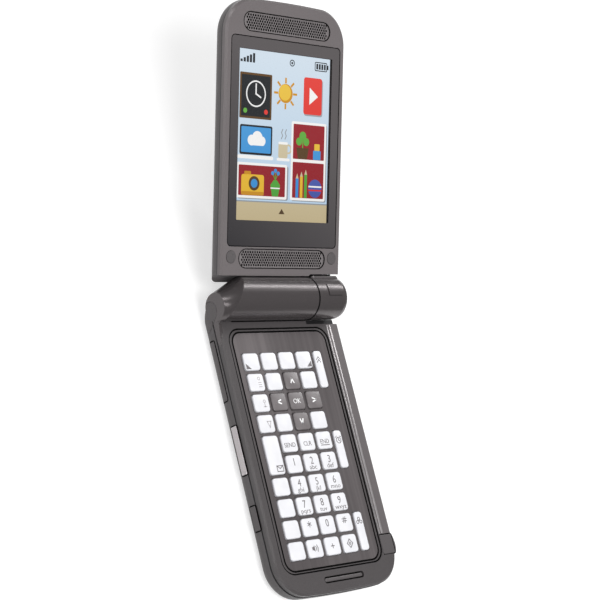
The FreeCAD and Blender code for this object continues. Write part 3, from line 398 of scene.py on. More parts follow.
# Pieces in the gap finish, such as the speakers behind the grilles, are black with painted shade
CAD_FINISH = {
    "base_housing": "housing", "base_frame": "frame", "keypad_plate": "plate", "key_mat": "rubber",
    "main_board": "board", "battery": "battery", "battery_cover": "cover", "right_rail": "rail",
    "hinge_barrel": "hinge", "hinge_pin": "steel", "hinge_knuckle": "hinge", "knuckle_pad": "hinge",
    "swivel_pin": "steel", "lid_front": "lid", "lid_back": "lid_back", "speakers": "gap",
    "screw_covers": "disc", "outer_window": "window", "port_cover": "cover", "jack_cover": "cover",
    "volume_rocker": "silver", "side_button": "cover",
}
DISPLAY_FINISHES = ["dark", *LIT_COLOURS]
FINISHES = {}


def finish_of(short_name):
    if not FINISHES:
        FINISHES.update(make_finishes())
    return FINISHES[short_name]


# Mesh helpers

def mm(*values):
    """Vector of lengths given in millimetres."""
    return Vector(values) * MM


def new_object(name, mesh, materials):
    """Object from a bmesh, in the scene, with the given materials."""
    data = bpy.data.meshes.new(name)
    mesh.to_mesh(data)
    mesh.free()
    for material in materials:
        data.materials.append(material)
    made = bpy.data.objects.new(name, data)
    bpy.context.scene.collection.objects.link(made)
    return made


def new_piece(name, mesh, finishes, body, stands_for=None, place=None, smooth_to=None):
    """Piece from a bmesh, at the origin with its place in its mesh, fixed to its body."""
    if place is not None:
        bmesh.ops.transform(mesh, matrix=place, verts=mesh.verts)
    bmesh.ops.recalc_face_normals(mesh, faces=mesh.faces)
    piece = new_object(name, mesh, [finish_of(finish) for finish in finishes])
    if smooth_to:
        for face in piece.data.polygons:
            face.use_smooth = True
        piece.data.set_sharp_from_angle(angle=math.radians(smooth_to))
    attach(piece, body)
    if stands_for:
        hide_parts(stands_for)


def lid_box(name):
    """Lowest and highest corners of a node in the lid's own directions."""
    back = LID_PLACE.inverted()
    points = [back @ vertex.co for vertex in frame["nodes"][name].data.vertices]
    return tuple(Vector([pick(p[i] for p in points) for i in range(3)]) for pick in (min, max))


def made_since(mesh, before, index):
    """Faces added since the given ones, marked with a material number."""
    made = [face for face in mesh.faces if face not in before]
    for face in made:
        face.material_index = index
    return made


def round_edges(mesh, edges, radius, segments, clamp=True):
    bmesh.ops.bevel(mesh, geom=edges, offset=radius, segments=segments, affect="EDGES", profile=0.5,
                    material=-1, offset_type="OFFSET", clamp_overlap=clamp)


def cube(mesh, low, high):
    """Plain block between two corners; returns its vertices."""
    made = bmesh.ops.create_cube(mesh, size=1.0)["verts"]
    bmesh.ops.scale(mesh, vec=Vector(high) - Vector(low), verts=made)
    bmesh.ops.translate(mesh, vec=(Vector(high) + Vector(low)) / 2, verts=made)
    return made


def block(mesh, low, high, corner, index=0, segments=5):
    """Block with rounded upright corners; returns its faces."""
    before = set(mesh.faces)
    made = cube(mesh, low, high)
    upright = [e for e in {e for v in made for e in v.link_edges}
               if abs(e.verts[0].co.z - e.verts[1].co.z) > (high[2] - low[2]) / 2]
    if corner:
        round_edges(mesh, upright, corner, segments, clamp=False)
    return made_since(mesh, before, index)


def flat_at(faces, *heights):
    """The faces that lie wholly at one of the given heights."""
    return [f for f in faces if f.is_valid
            and any(all(abs(v.co.z - z) < SAME for v in f.verts) for z in heights)]


def soften_top(mesh, faces, height, width, segments=3):
    """Round the rim of the top face of the given faces."""
    round_edges(mesh, list({e for f in flat_at(faces, height) for e in f.edges}), width, segments)


def hollow(mesh, faces, low_z, high_z, width):
    """Turn a flat block into a closed ring of the given width."""
    ends = flat_at(faces, low_z, high_z)
    index = ends[0].material_index
    before = set(mesh.faces)
    bmesh.ops.inset_region(mesh, faces=ends, thickness=width, use_even_offset=True)
    inner = list({e for f in ends for e in f.edges})
    bmesh.ops.delete(mesh, geom=ends, context="FACES_ONLY")
    bmesh.ops.bridge_loops(mesh, edges=inner)
    made_since(mesh, before, index)


def outline(mesh, low, high, corner, width, index=0, segments=8):
    """Flat closed ring with rounded corners, its width measured inwards."""
    hollow(mesh, block(mesh, low, high, corner, index, segments), low[2], high[2], width)


def disc(mesh, at, radius, z, index=0, segments=28):
    """Upright disc between two heights; returns its faces."""
    before = set(mesh.faces)
    made = bmesh.ops.create_cone(mesh, cap_ends=True, segments=segments, radius1=radius, radius2=radius,
                                 depth=z[1] - z[0])["verts"]
    bmesh.ops.translate(mesh, vec=(at[0], at[1], sum(z) / 2), verts=made)
    return made_since(mesh, before, index)


def ring(mesh, at, radius, width, z, index=0, segments=28):
    """Upright round ring between two heights, its width measured inwards."""
    hollow(mesh, disc(mesh, at, radius, z, index, segments), z[0], z[1], width)


def stroke(mesh, start, end, width, z, index=0):
    """Straight flat bar from one point to another, square at its ends."""
    before = set(mesh.faces)
    run = Vector(end) - Vector(start)
    middle = (Vector(start) + Vector(end)) / 2
    made = bmesh.ops.create_cube(mesh, size=1.0)["verts"]
    size = (run.length + width, width, z[1] - z[0], 1.0)
    turn = Matrix.Rotation(math.atan2(run.y, run.x), 4, "Z")
    place = Matrix.Translation((middle.x, middle.y, sum(z) / 2)) @ turn @ Matrix.Diagonal(size)
    bmesh.ops.transform(mesh, matrix=place, verts=made)
    made_since(mesh, before, index)


def polygon(mesh, points, z, index=0):
    """Flat closed shape through the given corners."""
    before = set(mesh.faces)
    face = mesh.faces.new([mesh.verts.new((x, y, z[0])) for x, y in points])
    made = bmesh.ops.extrude_face_region(mesh, geom=[face], use_keep_orig=True)["geom"]
    lifted = [item for item in made if isinstance(item, bmesh.types.BMVert)]
    bmesh.ops.translate(mesh, vec=(0, 0, z[1] - z[0]), verts=lifted)
    made_since(mesh, before, index)


def lettering(mesh, text, capital, at, z, index, wide):
    """Flat closed letters, centred on a point, with capitals of the given height."""
    curve = bpy.data.curves.new("lettering", "FONT")
    curve.body = text
    curve.resolution_u = 4
    curve.extrude = 0.5
    holder = bpy.data.objects.new("lettering", curve)
    flat = bpy.data.meshes.new_from_object(holder)
    known, before = set(mesh.verts), set(mesh.faces)
    mesh.from_mesh(flat)
    made = [vertex for vertex in mesh.verts if vertex not in known]
    bmesh.ops.remove_doubles(mesh, verts=made, dist=1e-5)
    made = [vertex for vertex in made if vertex.is_valid]
    across = [vertex.co.x for vertex in made]
    centre = Matrix.Translation((-(min(across) + max(across)) / 2, -CAP_HEIGHT / 2, 0))
    size = capital / CAP_HEIGHT
    place = (Matrix.Translation((at[0], at[1], sum(z) / 2))
             @ Matrix.Diagonal((size * wide, size, z[1] - z[0], 1.0)) @ centre)
    bmesh.ops.transform(mesh, matrix=place, verts=made)
    made_since(mesh, before, index)
    bpy.data.objects.remove(holder)
    bpy.data.curves.remove(curve)
    bpy.data.meshes.remove(flat)


def blank_box(code):
    """Place of an unmarked key, from the marked keys in its column and row."""
    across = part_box(COLUMNS[code[0]])
    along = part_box(ROWS[int(code[1:])])
    return [Vector((x.x, y.y, x.z)) for x, y in zip(across, along)]


# Settings

class FlipPhoneSettings(bpy.types.PropertyGroup):
    """Sizes and colours that a user of the phone would change"""
    lid_paint: bpy.props.FloatVectorProperty(name="Lid paint", description="Colour of the lid's front",
                                             subtype="COLOR", size=4, default=linear("#716b6c"))
    frame_paint: bpy.props.FloatVectorProperty(name="Frame paint", description="Colour of the front frame",
                                               subtype="COLOR", size=4, default=linear("#524e4f"))
    key_face: bpy.props.FloatVectorProperty(name="Key face", description="Colour of the pale keys",
                                            subtype="COLOR", size=4, default=linear("#e8e8ec"))
    key_corner: bpy.props.FloatProperty(name="Key corner", description="Radius of a key's corners in plan",
                                        default=1.05 * MM, unit="LENGTH")
    key_edge: bpy.props.FloatProperty(name="Key edge", description="Rounding round a key's top face",
                                      default=0.24 * MM, unit="LENGTH")
    legend_line: bpy.props.FloatProperty(name="Legend line", description="Width of the symbols' lines",
                                         default=0.26 * MM, unit="LENGTH")
    # Real grilles have holes near 0.4 mm, which are drawn coarser to show
    mesh_pitch: bpy.props.FloatProperty(name="Grille pitch", description="Distance between two grille holes",
                                        default=1.0 * MM, unit="LENGTH")
    mesh_hole: bpy.props.FloatProperty(name="Grille hole", description="Width of a grille hole",
                                       default=0.74 * MM, unit="LENGTH")


# Operators

class FLIPPHONE_OT_finishes(bpy.types.Operator):
    """Give each carried-over solid its finish"""
    bl_idname = "flip_phone.finishes"
    bl_label = "Finishes"

    def execute(self, context):
        FINISHES.clear()
        for name, finish in CAD_FINISH.items():
            node = frame["nodes"][name]
            node.data.materials.clear()
            node.data.materials.append(finish_of(finish))
        return {"FINISHED"}


class FLIPPHONE_OT_keys(bpy.types.Operator):
    """Make the rounded key caps with their printed legends"""
    bl_idname = "flip_phone.keys"
    bl_label = "Keys"

    def execute(self, context):
        self.settings = context.scene.flip_phone
        for name in frame["nodes"]:
            if name.startswith(("key_", "nav_", "soft_key")) and name != "key_mat":
                mesh = bmesh.new()
                low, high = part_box(name)
                self.cap(mesh, low, high, RIM_SHADE)
                self.legend(mesh, name, low, high)
                if name in NAV_KEYS:
                    finishes, slot = ["nav", "legend_white", "nav", "nav_rim_shade"], "nav_keys"
                else:
                    finishes, slot = ["keys", "legend", "legend_pale", "key_rim_shade"], "keys"
                self.seat(name + "_cap", mesh, finishes, name, slot)
        mesh = bmesh.new()
        for code in BLANKS:
            self.cap(mesh, *blank_box(code), 1)
        self.seat("blank_keys_caps", mesh, ["keys", "key_rim_shade"], "blank_keys", "keys")
        return {"FINISHED"}

    def cap(self, mesh, low, high, rim):
        faces = block(mesh, low, high, self.settings.key_corner)
        before = set(mesh.faces)
        soften_top(mesh, faces, high.z, self.settings.key_edge)
        top = flat_at(mesh.faces, high.z)
        # The rounded rim takes the darker copy: painted shade where the light falls off
        for face in made_since(mesh, before, 0):
            face.material_index = 0 if face in top else rim

    def seat(self, name, mesh, finishes, node, slot):
        """Fix a cap to its key's own body."""
        new_piece(name, mesh, finishes, frame["nodes"][node]["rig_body"], node, smooth_to=SMOOTH_TO)

    def legend(self, mesh, name, low, high):
        """Print the key's legend as thin ink on its face."""
        self.mesh, self.middle, self.size = mesh, (low + high) / 2, high - low
        self.z = (high.z - INK * MM, high.z + INK * MM)
        if name == "nav_ok":
            self.word("OK", 1.6, 0, 1.0)
        elif name in NAV_KEYS:
            self.chevron(name[4:])
        elif name.startswith("soft_key"):
            self.corner_mark(-1 if name.endswith("left") else 1)
        elif name in SYMBOLS:
            self.symbol(**SYMBOLS[name])
        elif name[4:].isdigit():
            self.word(name[4:], 2.5, 0.12, 0.85)
            if name in LETTERS:
                self.word(LETTERS[name], 1.5, -0.26, 1.15)
        else:
            raise ValueError("no legend is drawn for " + name)

    def point(self, x, y):
        """Point given in millimetres from the key's middle."""
        return (self.middle.x + x * MM, self.middle.y + y * MM)

    def word(self, text, capital_mm, up, wide):
        """Letters centred on the key, raised by a share of its height."""
        at = (self.middle.x, self.middle.y + up * self.size.y)
        lettering(self.mesh, text, capital_mm * MM, at, self.z, INK_GREY, wide)

    def lines(self, points, weight=1.0, ink=INK_GREY):
        places = [self.point(*p) for p in points]
        for start, end in zip(places[:-1], places[1:]):
            stroke(self.mesh, start, end, self.settings.legend_line * weight, self.z, ink)

    def area(self, corners):
        polygon(self.mesh, [self.point(*p) for p in corners], self.z, INK_GREY)

    def symbol(self, word=None, word_up=-0.1, areas=(), rings=(), lines=(), weight=1.0, ink=INK_GREY):
        """Draw one of the key symbols."""
        if word:
            self.word(word, 1.5, word_up, 0.95)
        for corners in areas:
            self.area(corners)
        for x, y, radius in rings:
            ring(self.mesh, self.point(x, y), radius * MM, self.settings.legend_line, self.z, ink, 20)
        for points in lines:
            self.lines(points, weight, ink)

    def chevron(self, way):
        turn = {"up": 0, "left": 90, "down": 180, "right": 270}[way]
        turned = Matrix.Rotation(math.radians(turn), 2)
        self.lines([turned @ Vector(p) for p in ((-0.62, -0.65), (0, 0.75), (0.62, -0.65))], 1.7)

    def corner_mark(self, side):
        """Small triangle in the lower outer corner."""
        edge = side * (self.size.x / 2 / MM - 0.5)
        foot = -self.size.y / 2 / MM + 0.5
        self.area([(edge, foot), (edge, foot + 1.9), (edge - side * 2.1, foot)])


class FLIPPHONE_OT_keypad_trim(bpy.types.Operator):
    """Make the black rings of painted shade round the keypad plate, the bright lines of the rail, which are
    partly a painted highlight, and the painted shadow under the barrel
    """
    bl_idname = "flip_phone.keypad_trim"
    bl_label = "Keypad trim"

    def execute(self, context):
        low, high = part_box("keypad_plate")
        mesh = bmesh.new()
        # Each ring is black painted shade, the second one laid over the ring round the plate to widen the
        # dark line
        for (left, front, right, rear), corner, width, levels in PLATE_SHADE_RINGS:
            foot, head = (high.z + level * MM for level in levels)
            outline(mesh, (low.x - left * MM, low.y - front * MM, foot),
                    (high.x + right * MM, high.y + rear * MM, head), corner * MM, width * MM)
        new_piece("keypad_groove_painted_shade", mesh, ["gap"], "base")
        self.rail_highlight_lines()
        self.barrel_foot_shadow()
        return {"FINISHED"}

    def rail_highlight_lines(self):
        # Pale metal lines, partly a painted highlight along the rail's bevelled edge
        low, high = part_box("right_rail")
        mesh = bmesh.new()
        foot, top = high.z - 0.3 * MM, high.z + 0.09 * MM
        end_gap = 0.3 * MM
        for left, right in RAIL_LINES:
            faces = block(mesh, (low.x + left * MM, low.y + end_gap, foot),
                          (low.x + right * MM, high.y - end_gap, top), corner=0.25 * MM)
            soften_top(mesh, faces, top, width=0.08 * MM, segments=2)
        new_piece("rail_highlight_lines", mesh, ["bright"], "base", smooth_to=SMOOTH_TO)

    def barrel_foot_shadow(self):
        """Black strip of painted shadow along the foot of the fixed barrel, under its lip."""
        low, high = (mm(*point) + Vector((0, HINGE.y, 0)) for point in BARREL_FOOT_SHADOW)
        mesh = bmesh.new()
        faces = block(mesh, low, high, corner=0.2 * MM)
        soften_top(mesh, faces, high.z, width=0.15 * MM, segments=2)
        new_piece("barrel_foot_painted_shadow", mesh, ["gap"], "base", smooth_to=SMOOTH_TO)


class FLIPPHONE_OT_hinge_gap_shade(bpy.types.Operator):
    """Make the black pieces of painted shade in the gaps between the barrel, the knuckle and the lid"""
    bl_idname = "flip_phone.hinge_washers"
    bl_label = "Hinge gap shade"

    def execute(self, context):
        radius, *faces = (size * MM for size in BARREL_GAP_SHADE)
        mesh = bmesh.new()
        disc(mesh, (0, 0), radius, faces, segments=72)
        place = (Matrix.Translation((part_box("hinge_knuckle")[0].x, HINGE.y, HINGE.z))
                 @ Matrix.Rotation(math.pi / 2, 4, "Y"))
        new_piece("barrel_gap_painted_shade", mesh, ["gap"], "base", place=place, smooth_to=SMOOTH_TO)
        mesh = bmesh.new()
        block(mesh, *(mm(*point) for point in SWIVEL_GAP_SHADE), corner=0.1 * MM, segments=2)
        new_piece("swivel_gap_painted_shade", mesh, ["gap"], "knuckle", place=LID_PLACE)
        return {"FINISHED"}


class FLIPPHONE_OT_side_seams(bpy.types.Operator):
    """Make the dark joint lines round the side pieces, black with painted shade in the joints, and the bar in
    the chin slot
    """
    bl_idname = "flip_phone.side_seams"
    bl_label = "Side seams and chin bar"

    def execute(self, context):
        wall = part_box("base_housing")[0].x
        onto_side = Matrix(((0, 0, -1), (-1, 0, 0), (0, 1, 0))).to_4x4()
        sunk, proud = mm(SIDE_GAP, SIDE_GAP, 0.3), mm(SIDE_GAP, SIDE_GAP, 0.05)
        mesh = bmesh.new()
        for name in ("port_cover", "volume_rocker", "side_button"):
            low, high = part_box(name)
            outline(mesh, Vector((-high.y, low.z, -wall)) - sunk, Vector((-low.y, high.z, -wall)) + proud,
                    corner=0.8 * MM, width=0.32 * MM)
        self.follow_back_edge(mesh)
        # The joint lines are painted shade in the joints round the side pieces
        new_piece("side_seams", mesh, ["gap"], "base", place=onto_side)
        self.chin_bar()
        return {"FINISHED"}

    def follow_back_edge(self, mesh):
        """Lay the flat rings onto the rounded edge between the side and the back."""
        upright = [e for e in mesh.edges if abs(e.verts[0].co.y - e.verts[1].co.y) > 1.0 * MM]
        bmesh.ops.subdivide_edges(mesh, edges=upright, cuts=7, use_grid_fill=True)
        edge = BACK_EDGE * MM
        for vertex in mesh.verts:
            below = max(0.0, edge - vertex.co.y)
            vertex.co.z -= edge - math.sqrt(edge ** 2 - below ** 2)

    def chin_bar(self):
        """Bar with a rounded pad, sunk in the slot over the microphone, in a black block of painted shade in
        the slot.
        """
        low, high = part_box("microphone_port")
        mesh = bmesh.new()
        # Black block under the bar: painted shade in the slot round it
        block(mesh, low, high - mm(0, 0, 0.5), corner=0.9 * MM, index=1, segments=6)
        rim = mm(0.35, 0.35, 0)
        foot, top = high.z - 0.6 * MM, high.z + 0.15 * MM
        faces = block(mesh, (*(low + rim)[:2], foot), (*(high - rim)[:2], top), corner=0.55 * MM, segments=6)
        soften_top(mesh, faces, top, width=0.3 * MM)
        new_piece("microphone_bar", mesh, ["trim", "gap"], "base", "microphone_port",
                  smooth_to=SMOOTH_TO)


class FLIPPHONE_OT_rail_cap(bpy.types.Operator):
    """Make the rounded thumb cap at the end of the rail, with painted shade in the joint round it"""
    bl_idname = "flip_phone.rail_cap"
    bl_label = "Rail cap"

    def execute(self, context):
        low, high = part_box("rail_cap")
        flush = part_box("right_rail")[1].x
        seam = bmesh.new()
        # Black ring of painted shade in the joint round the cap
        outline(seam, (low.x - 0.1 * MM, low.y - 0.2 * MM, high.z - 0.1 * MM),
                (flush - 0.2 * MM, high.y + 0.2 * MM, high.z + 0.03 * MM), corner=0.8 * MM, width=0.28 * MM)
        new_piece("rail_cap_seam", seam, ["gap"], "base")
        mesh = bmesh.new()
        cube(mesh, low, high)
        lengthways = [e for e in mesh.edges if abs(e.verts[0].co.y - e.verts[1].co.y) > 0.1 * MM]
        bmesh.ops.subdivide_edges(mesh, edges=lengthways, cuts=15, use_grid_fill=True)
        for vertex in mesh.verts:
            if vertex.co.x > high.x - SAME:
                share = min(1.0, max(0.0, (vertex.co.y - low.y) / (high.y - low.y)))
                crown = 0.02 + CAP_CROWN * math.sin(math.pi * share ** 0.85)
                vertex.co.x = flush + (high.x - flush) * crown
        mesh.normal_update()
        top = [e for e in mesh.edges if all(v.co.z > high.z - SAME for v in e.verts)
               and any(abs(f.normal.z) < 0.5 for f in e.link_faces)]
        outer = [e for e in top if any(v.co.x > flush - 0.1 * MM for v in e.verts)]
        round_edges(mesh, outer, radius=1.1 * MM, segments=5)
        new_piece("rail_cap_form", mesh, ["trim"], "base", "rail_cap", smooth_to=40)
        return {"FINISHED"}


class FLIPPHONE_OT_grilles(bpy.types.Operator):
    """Make the finely perforated speaker grilles, with painted shade in their holes, and their dark surrounds
    of painted shade
    """
    bl_idname = "flip_phone.grilles"
    bl_label = "Speaker grilles"

    def execute(self, context):
        low, high = lid_box("speaker_grilles")
        radius = GRILLE_END * MM
        reach = mm(0.22, 0.22, 0)
        plate, holes, surround = bmesh.new(), bmesh.new(), bmesh.new()
        for middle in (low.y + radius, high.y - radius):
            foot = Vector((low.x, middle - radius, low.z))
            head = Vector((high.x, middle + radius, high.z))
            faces = block(plate, foot, head, corner=radius - 0.01 * MM, segments=10)
            soften_top(plate, faces, high.z, width=0.1 * MM, segments=1)
            self.punch(context.scene.flip_phone, holes, middle, high.z)
            # Dark ring of painted shade in the groove round each grille
            outline(surround, (*(foot - reach)[:2], high.z), (*(head + reach)[:2], high.z + 0.27 * MM),
                    corner=radius + 0.2 * MM, width=0.3 * MM, segments=10)
        new_piece("speaker_grilles_perforated", self.cut(plate, holes), ["grille", "gap"], "lid",
                  "speaker_grilles", LID_PLACE)
        new_piece("grille_surrounds", surround, ["gap"], "lid", place=LID_PLACE)
        return {"FINISHED"}

    def punch(self, settings, holes, middle, height):
        """Cutters for staggered rows of upright oval holes, whose walls are black painted shade."""
        pitch, radius = settings.mesh_pitch, settings.mesh_hole / 2
        for row in range(GRILLE_ROWS):
            shift = 0.25 if row % 2 else -0.25
            for column in range(GRILLE_COLUMNS):
                made = bmesh.ops.create_cone(holes, cap_ends=True, segments=6, radius1=radius, radius2=radius,
                                             depth=3 * MM)["verts"]
                at = ((column - (GRILLE_COLUMNS - 1) / 2 + shift) * pitch,
                      middle + (row - (GRILLE_ROWS - 1) / 2) * ROW_STEP * pitch, height)
                place = Matrix.Translation(at) @ Matrix.Diagonal((1, HOLE_STRETCH, 1, 1))
                bmesh.ops.transform(holes, matrix=place, verts=made)
        # The cutters' faces become the holes' walls, black with painted shade
        for face in holes.faces:
            face.material_index = 1

    def cut(self, plate, holes):
        """Plate with the cutters taken out of it."""
        finishes = [finish_of("grille"), finish_of("gap")]
        pieces = [new_object(name, mesh, finishes) for name, mesh in (("plate", plate), ("cutters", holes))]
        punched = pieces[0].modifiers.new("punched", "BOOLEAN")
        punched.operation = "DIFFERENCE"
        punched.solver = "EXACT"
        punched.object = pieces[1]
        seen = bpy.context.evaluated_depsgraph_get()
        result = bpy.data.meshes.new_from_object(pieces[0].evaluated_get(seen))
        mesh = bmesh.new()
        mesh.from_mesh(result)
        if len(mesh.faces) <= len(pieces[0].data.polygons):
            raise RuntimeError("the grilles' holes weren't cut")
        for piece in pieces:
            bpy.data.meshes.remove(piece.data)
        bpy.data.meshes.remove(result)
        return mesh


class FLIPPHONE_OT_display(bpy.types.Operator):
    """Make the lens with its printed border and the lit display behind it"""
    bl_idname = "flip_phone.display"
    bl_label = "Display"

    def execute(self, context):
        self.lens()
        self.module()
        return {"FINISHED"}

    def lens(self):
        """Printed lens with a clear window over the lit area, and black painted shade in the groove round it.
        """
        low, high = lid_box("display_lens")
        mesh = bmesh.new()
        faces = block(mesh, low, high, corner=1.3 * MM, segments=6)
        soften_top(mesh, faces, high.z, width=0.12 * MM, segments=2)
        left, right, foot, head = LIT_AREA
        window = (mm(left, foot), mm(right, head))
        for end in flat_at(mesh.faces, low.z, high.z):
            # The first, thin inset keeps the border's shading flat
            for width in (0.08, 0.8):
                bmesh.ops.inset_region(mesh, faces=[end], thickness=width * MM, use_even_offset=True)
            near, far = ([pick(v.co[i] for v in end.verts) for i in (0, 1)] for pick in (min, max))
            for v in end.verts:
                share = [(v.co[i] - near[i]) / (far[i] - near[i]) for i in (0, 1)]
                v.co.xy = [window[0][i] + share[i] * (window[1][i] - window[0][i]) for i in (0, 1)]
            end.material_index = 1
        new_piece("display_lens_printed", mesh, ["lens", "glass"], "lid", "display_lens",
                  LID_PLACE, SMOOTH_TO)
        # Black ring of painted shade in the groove round the lens
        edge = bmesh.new()
        outline(edge, low + mm(-0.2, -0.2, 0.6), high + mm(0.2, 0.2, 0.07), corner=1.5 * MM,
                width=0.26 * MM)
        new_piece("lens_groove_painted_shade", edge, ["gap"], "lid", place=LID_PLACE)

    def module(self):
        """Dark display module with a generic menu picture of thin lit layers."""
        low, high = lid_box("display_panel")
        self.mesh = bmesh.new()
        self.floor = high.z - 0.12 * MM    # leaves room for the picture's layers
        block(self.mesh, low, (high.x, high.y, self.floor), corner=0.8 * MM, segments=3)
        self.tile("sky", *LIT_AREA, 1)
        self.status()
        self.board_tile()
        self.sun()
        self.weather_tile()
        self.play_tile()
        self.mug()
        self.cabinet()
        self.shelf()
        self.ground()
        new_piece("display_module", self.mesh, DISPLAY_FINISHES, "lid", "display_panel", LID_PLACE)

    def z(self, level):
        """Foot and top of a layer of the picture."""
        return (self.floor - 0.01 * MM, self.floor + level * PICTURE_STEP * MM)

    def tile(self, colour, x0, x1, u0, u1, level, corner=0.0):
        low, high = self.z(level)
        block(self.mesh, (x0 * MM, u0 * MM, low), (x1 * MM, u1 * MM, high), corner * MM,
              DISPLAY_FINISHES.index(colour), 3)

    def spot(self, colour, x, u, radius, level):
        disc(self.mesh, mm(x, u), radius * MM, self.z(level), DISPLAY_FINISHES.index(colour))

    def hoop(self, colour, x, u, radius, width, level):
        ring(self.mesh, mm(x, u), radius * MM, width * MM, self.z(level), DISPLAY_FINISHES.index(colour))

    def line(self, colour, points, width, level):
        for start, end in zip(points[:-1], points[1:]):
            stroke(self.mesh, mm(*start), mm(*end), width * MM, self.z(level), DISPLAY_FINISHES.index(colour))

    def shape(self, colour, points, level):
        polygon(self.mesh, [mm(*p) for p in points], self.z(level), DISPLAY_FINISHES.index(colour))

    def status(self):
        """Signal steps, a small sun and a battery along the top."""
        for k in range(5):
            self.tile("ink", -19.0 + 1.3 * k, -18.1 + 1.3 * k, 74.6, 75.4 + 0.55 * k, 2)
        self.hoop("ink", 3.2, 76.0, 1.1, 0.3, 2)
        self.spot("ink", 3.2, 76.0, 0.4, 2)
        low, high = self.z(2)
        outline(self.mesh, (13.3 * MM, 74.4 * MM, low), (18.9 * MM, 77.4 * MM, high), corner=0.5 * MM,
                width=0.3 * MM, index=DISPLAY_FINISHES.index("ink"), segments=3)
        self.tile("ink", 18.9, 19.5, 75.2, 76.6, 2)
        for k in range(4):
            self.tile("ink", 14.0 + 1.15 * k, 14.8 + 1.15 * k, 75.0, 76.8, 2)

    def board_tile(self):
        """Dark framed tile with a plain clock face."""
        self.tile("wood", -19.0, -5.4, 57.0, 71.4, 2, 0.3)
        self.tile("ink", -18.3, -6.1, 57.7, 70.7, 3, 0.2)
        self.hoop("paper", -12.2, 64.9, 4.2, 0.45, 4)
        self.line("paper", [(-12.2, 64.9), (-12.2, 67.9)], 0.5, 4)
        self.line("paper", [(-12.2, 64.9), (-10.2, 63.9)], 0.5, 4)
        self.spot("leaf", -16.6, 59.4, 0.8, 4)
        self.spot("red", -7.8, 59.4, 0.8, 4)

    def sun(self):
        """Sun with eight rays."""
        middle = Vector((0.6, 66.0))
        for k in range(8):
            away = Vector((math.cos(k * math.pi / 4), math.sin(k * math.pi / 4)))
            self.line("amber", [middle + away * 3.6, middle + away * 4.7], 0.7, 2)
        self.spot("amber", 0.6, 66.0, 3.1, 2)
        self.spot("gold", 0.3, 66.3, 2.6, 3)

    def play_tile(self):
        """Red tile with a white triangle, and its grey shadow."""
        self.tile("mist", 8.9, 17.2, 59.5, 71.5, 2, 0.8)
        self.tile("red", 8.6, 16.8, 60.0, 72.0, 3, 0.8)
        self.shape("paper", [(11.2, 63.2), (11.2, 68.8), (15.0, 66.0)], 4)

    def weather_tile(self):
        """Small blue screen with a cloud on a pale stand."""
        self.tile("ink", -18.6, -4.8, 45.6, 55.0, 2, 0.6)
        self.tile("azure", -18.0, -5.4, 46.3, 54.4, 3, 0.3)
        for x, u, radius in ((-13.6, 50.2, 1.7), (-11.2, 51.0, 2.2), (-9.2, 50.1, 1.5)):
            self.spot("paper", x, u, radius, 4)
        self.tile("paper", -14.6, -8.2, 48.6, 50.2, 4, 0.6)
        self.tile("paper", -19.4, -4.2, 44.3, 45.4, 2, 0.4)

    def mug(self):
        """Cream mug with two wisps of steam on a pale shelf."""
        self.tile("paper", -2.6, 3.0, 44.3, 45.2, 2, 0.3)
        self.hoop("sand", 2.3, 48.2, 1.6, 0.6, 2)
        self.tile("sand", -2.0, 2.0, 45.2, 50.4, 3, 0.6)
        self.tile("paper", -2.0, 2.0, 49.6, 50.4, 4, 0.3)
        for x in (-0.8, 0.8):
            self.line("mist", [(x, 51.4), (x + 0.5, 52.4), (x, 53.4), (x + 0.5, 54.4)], 0.35, 2)

    def cabinet(self):
        """Tall crimson cabinet with a plant and blocks above, and a ball and pencils below."""
        self.tile("mist", 4.2, 19.6, 31.6, 57.0, 2, 0.6)
        self.tile("paper", 3.6, 19.2, 31.9, 57.4, 3, 0.6)
        self.tile("crimson", 4.4, 18.4, 45.3, 56.6, 4, 0.3)
        self.tile("crimson", 4.4, 18.4, 32.7, 44.3, 4, 0.3)
        self.shape("wood", [(6.6, 45.4), (10.6, 45.4), (11.4, 49.0), (5.8, 49.0)], 5)
        for x, u, radius in ((7.0, 51.0, 1.3), (10.2, 51.0, 1.3), (8.6, 52.8, 1.5)):
            self.spot("leaf", x, u, radius, 5)
        self.line("leaf", [(8.6, 49.0), (8.6, 52.0)], 0.4, 5)
        self.tile("azure", 13.4, 16.8, 45.4, 48.4, 5, 0.3)
        self.tile("gold", 13.9, 16.3, 48.4, 50.6, 6, 0.3)
        self.spot("indigo", 14.6, 36.0, 3.0, 5)
        self.line("paper", [(11.9, 36.6), (17.3, 36.6)], 0.5, 6)
        self.line("red", [(11.9, 35.4), (17.3, 35.4)], 0.5, 6)
        for k, colour in enumerate(("azure", "gold", "leaf")):
            x, tip = 5.9 + 1.9 * k, 39.0 + 0.7 * k
            self.tile(colour, x, x + 1.2, 32.8, tip, 5)
            self.shape("sand", [(x, tip), (x + 1.2, tip), (x + 0.6, tip + 1.6)], 5)

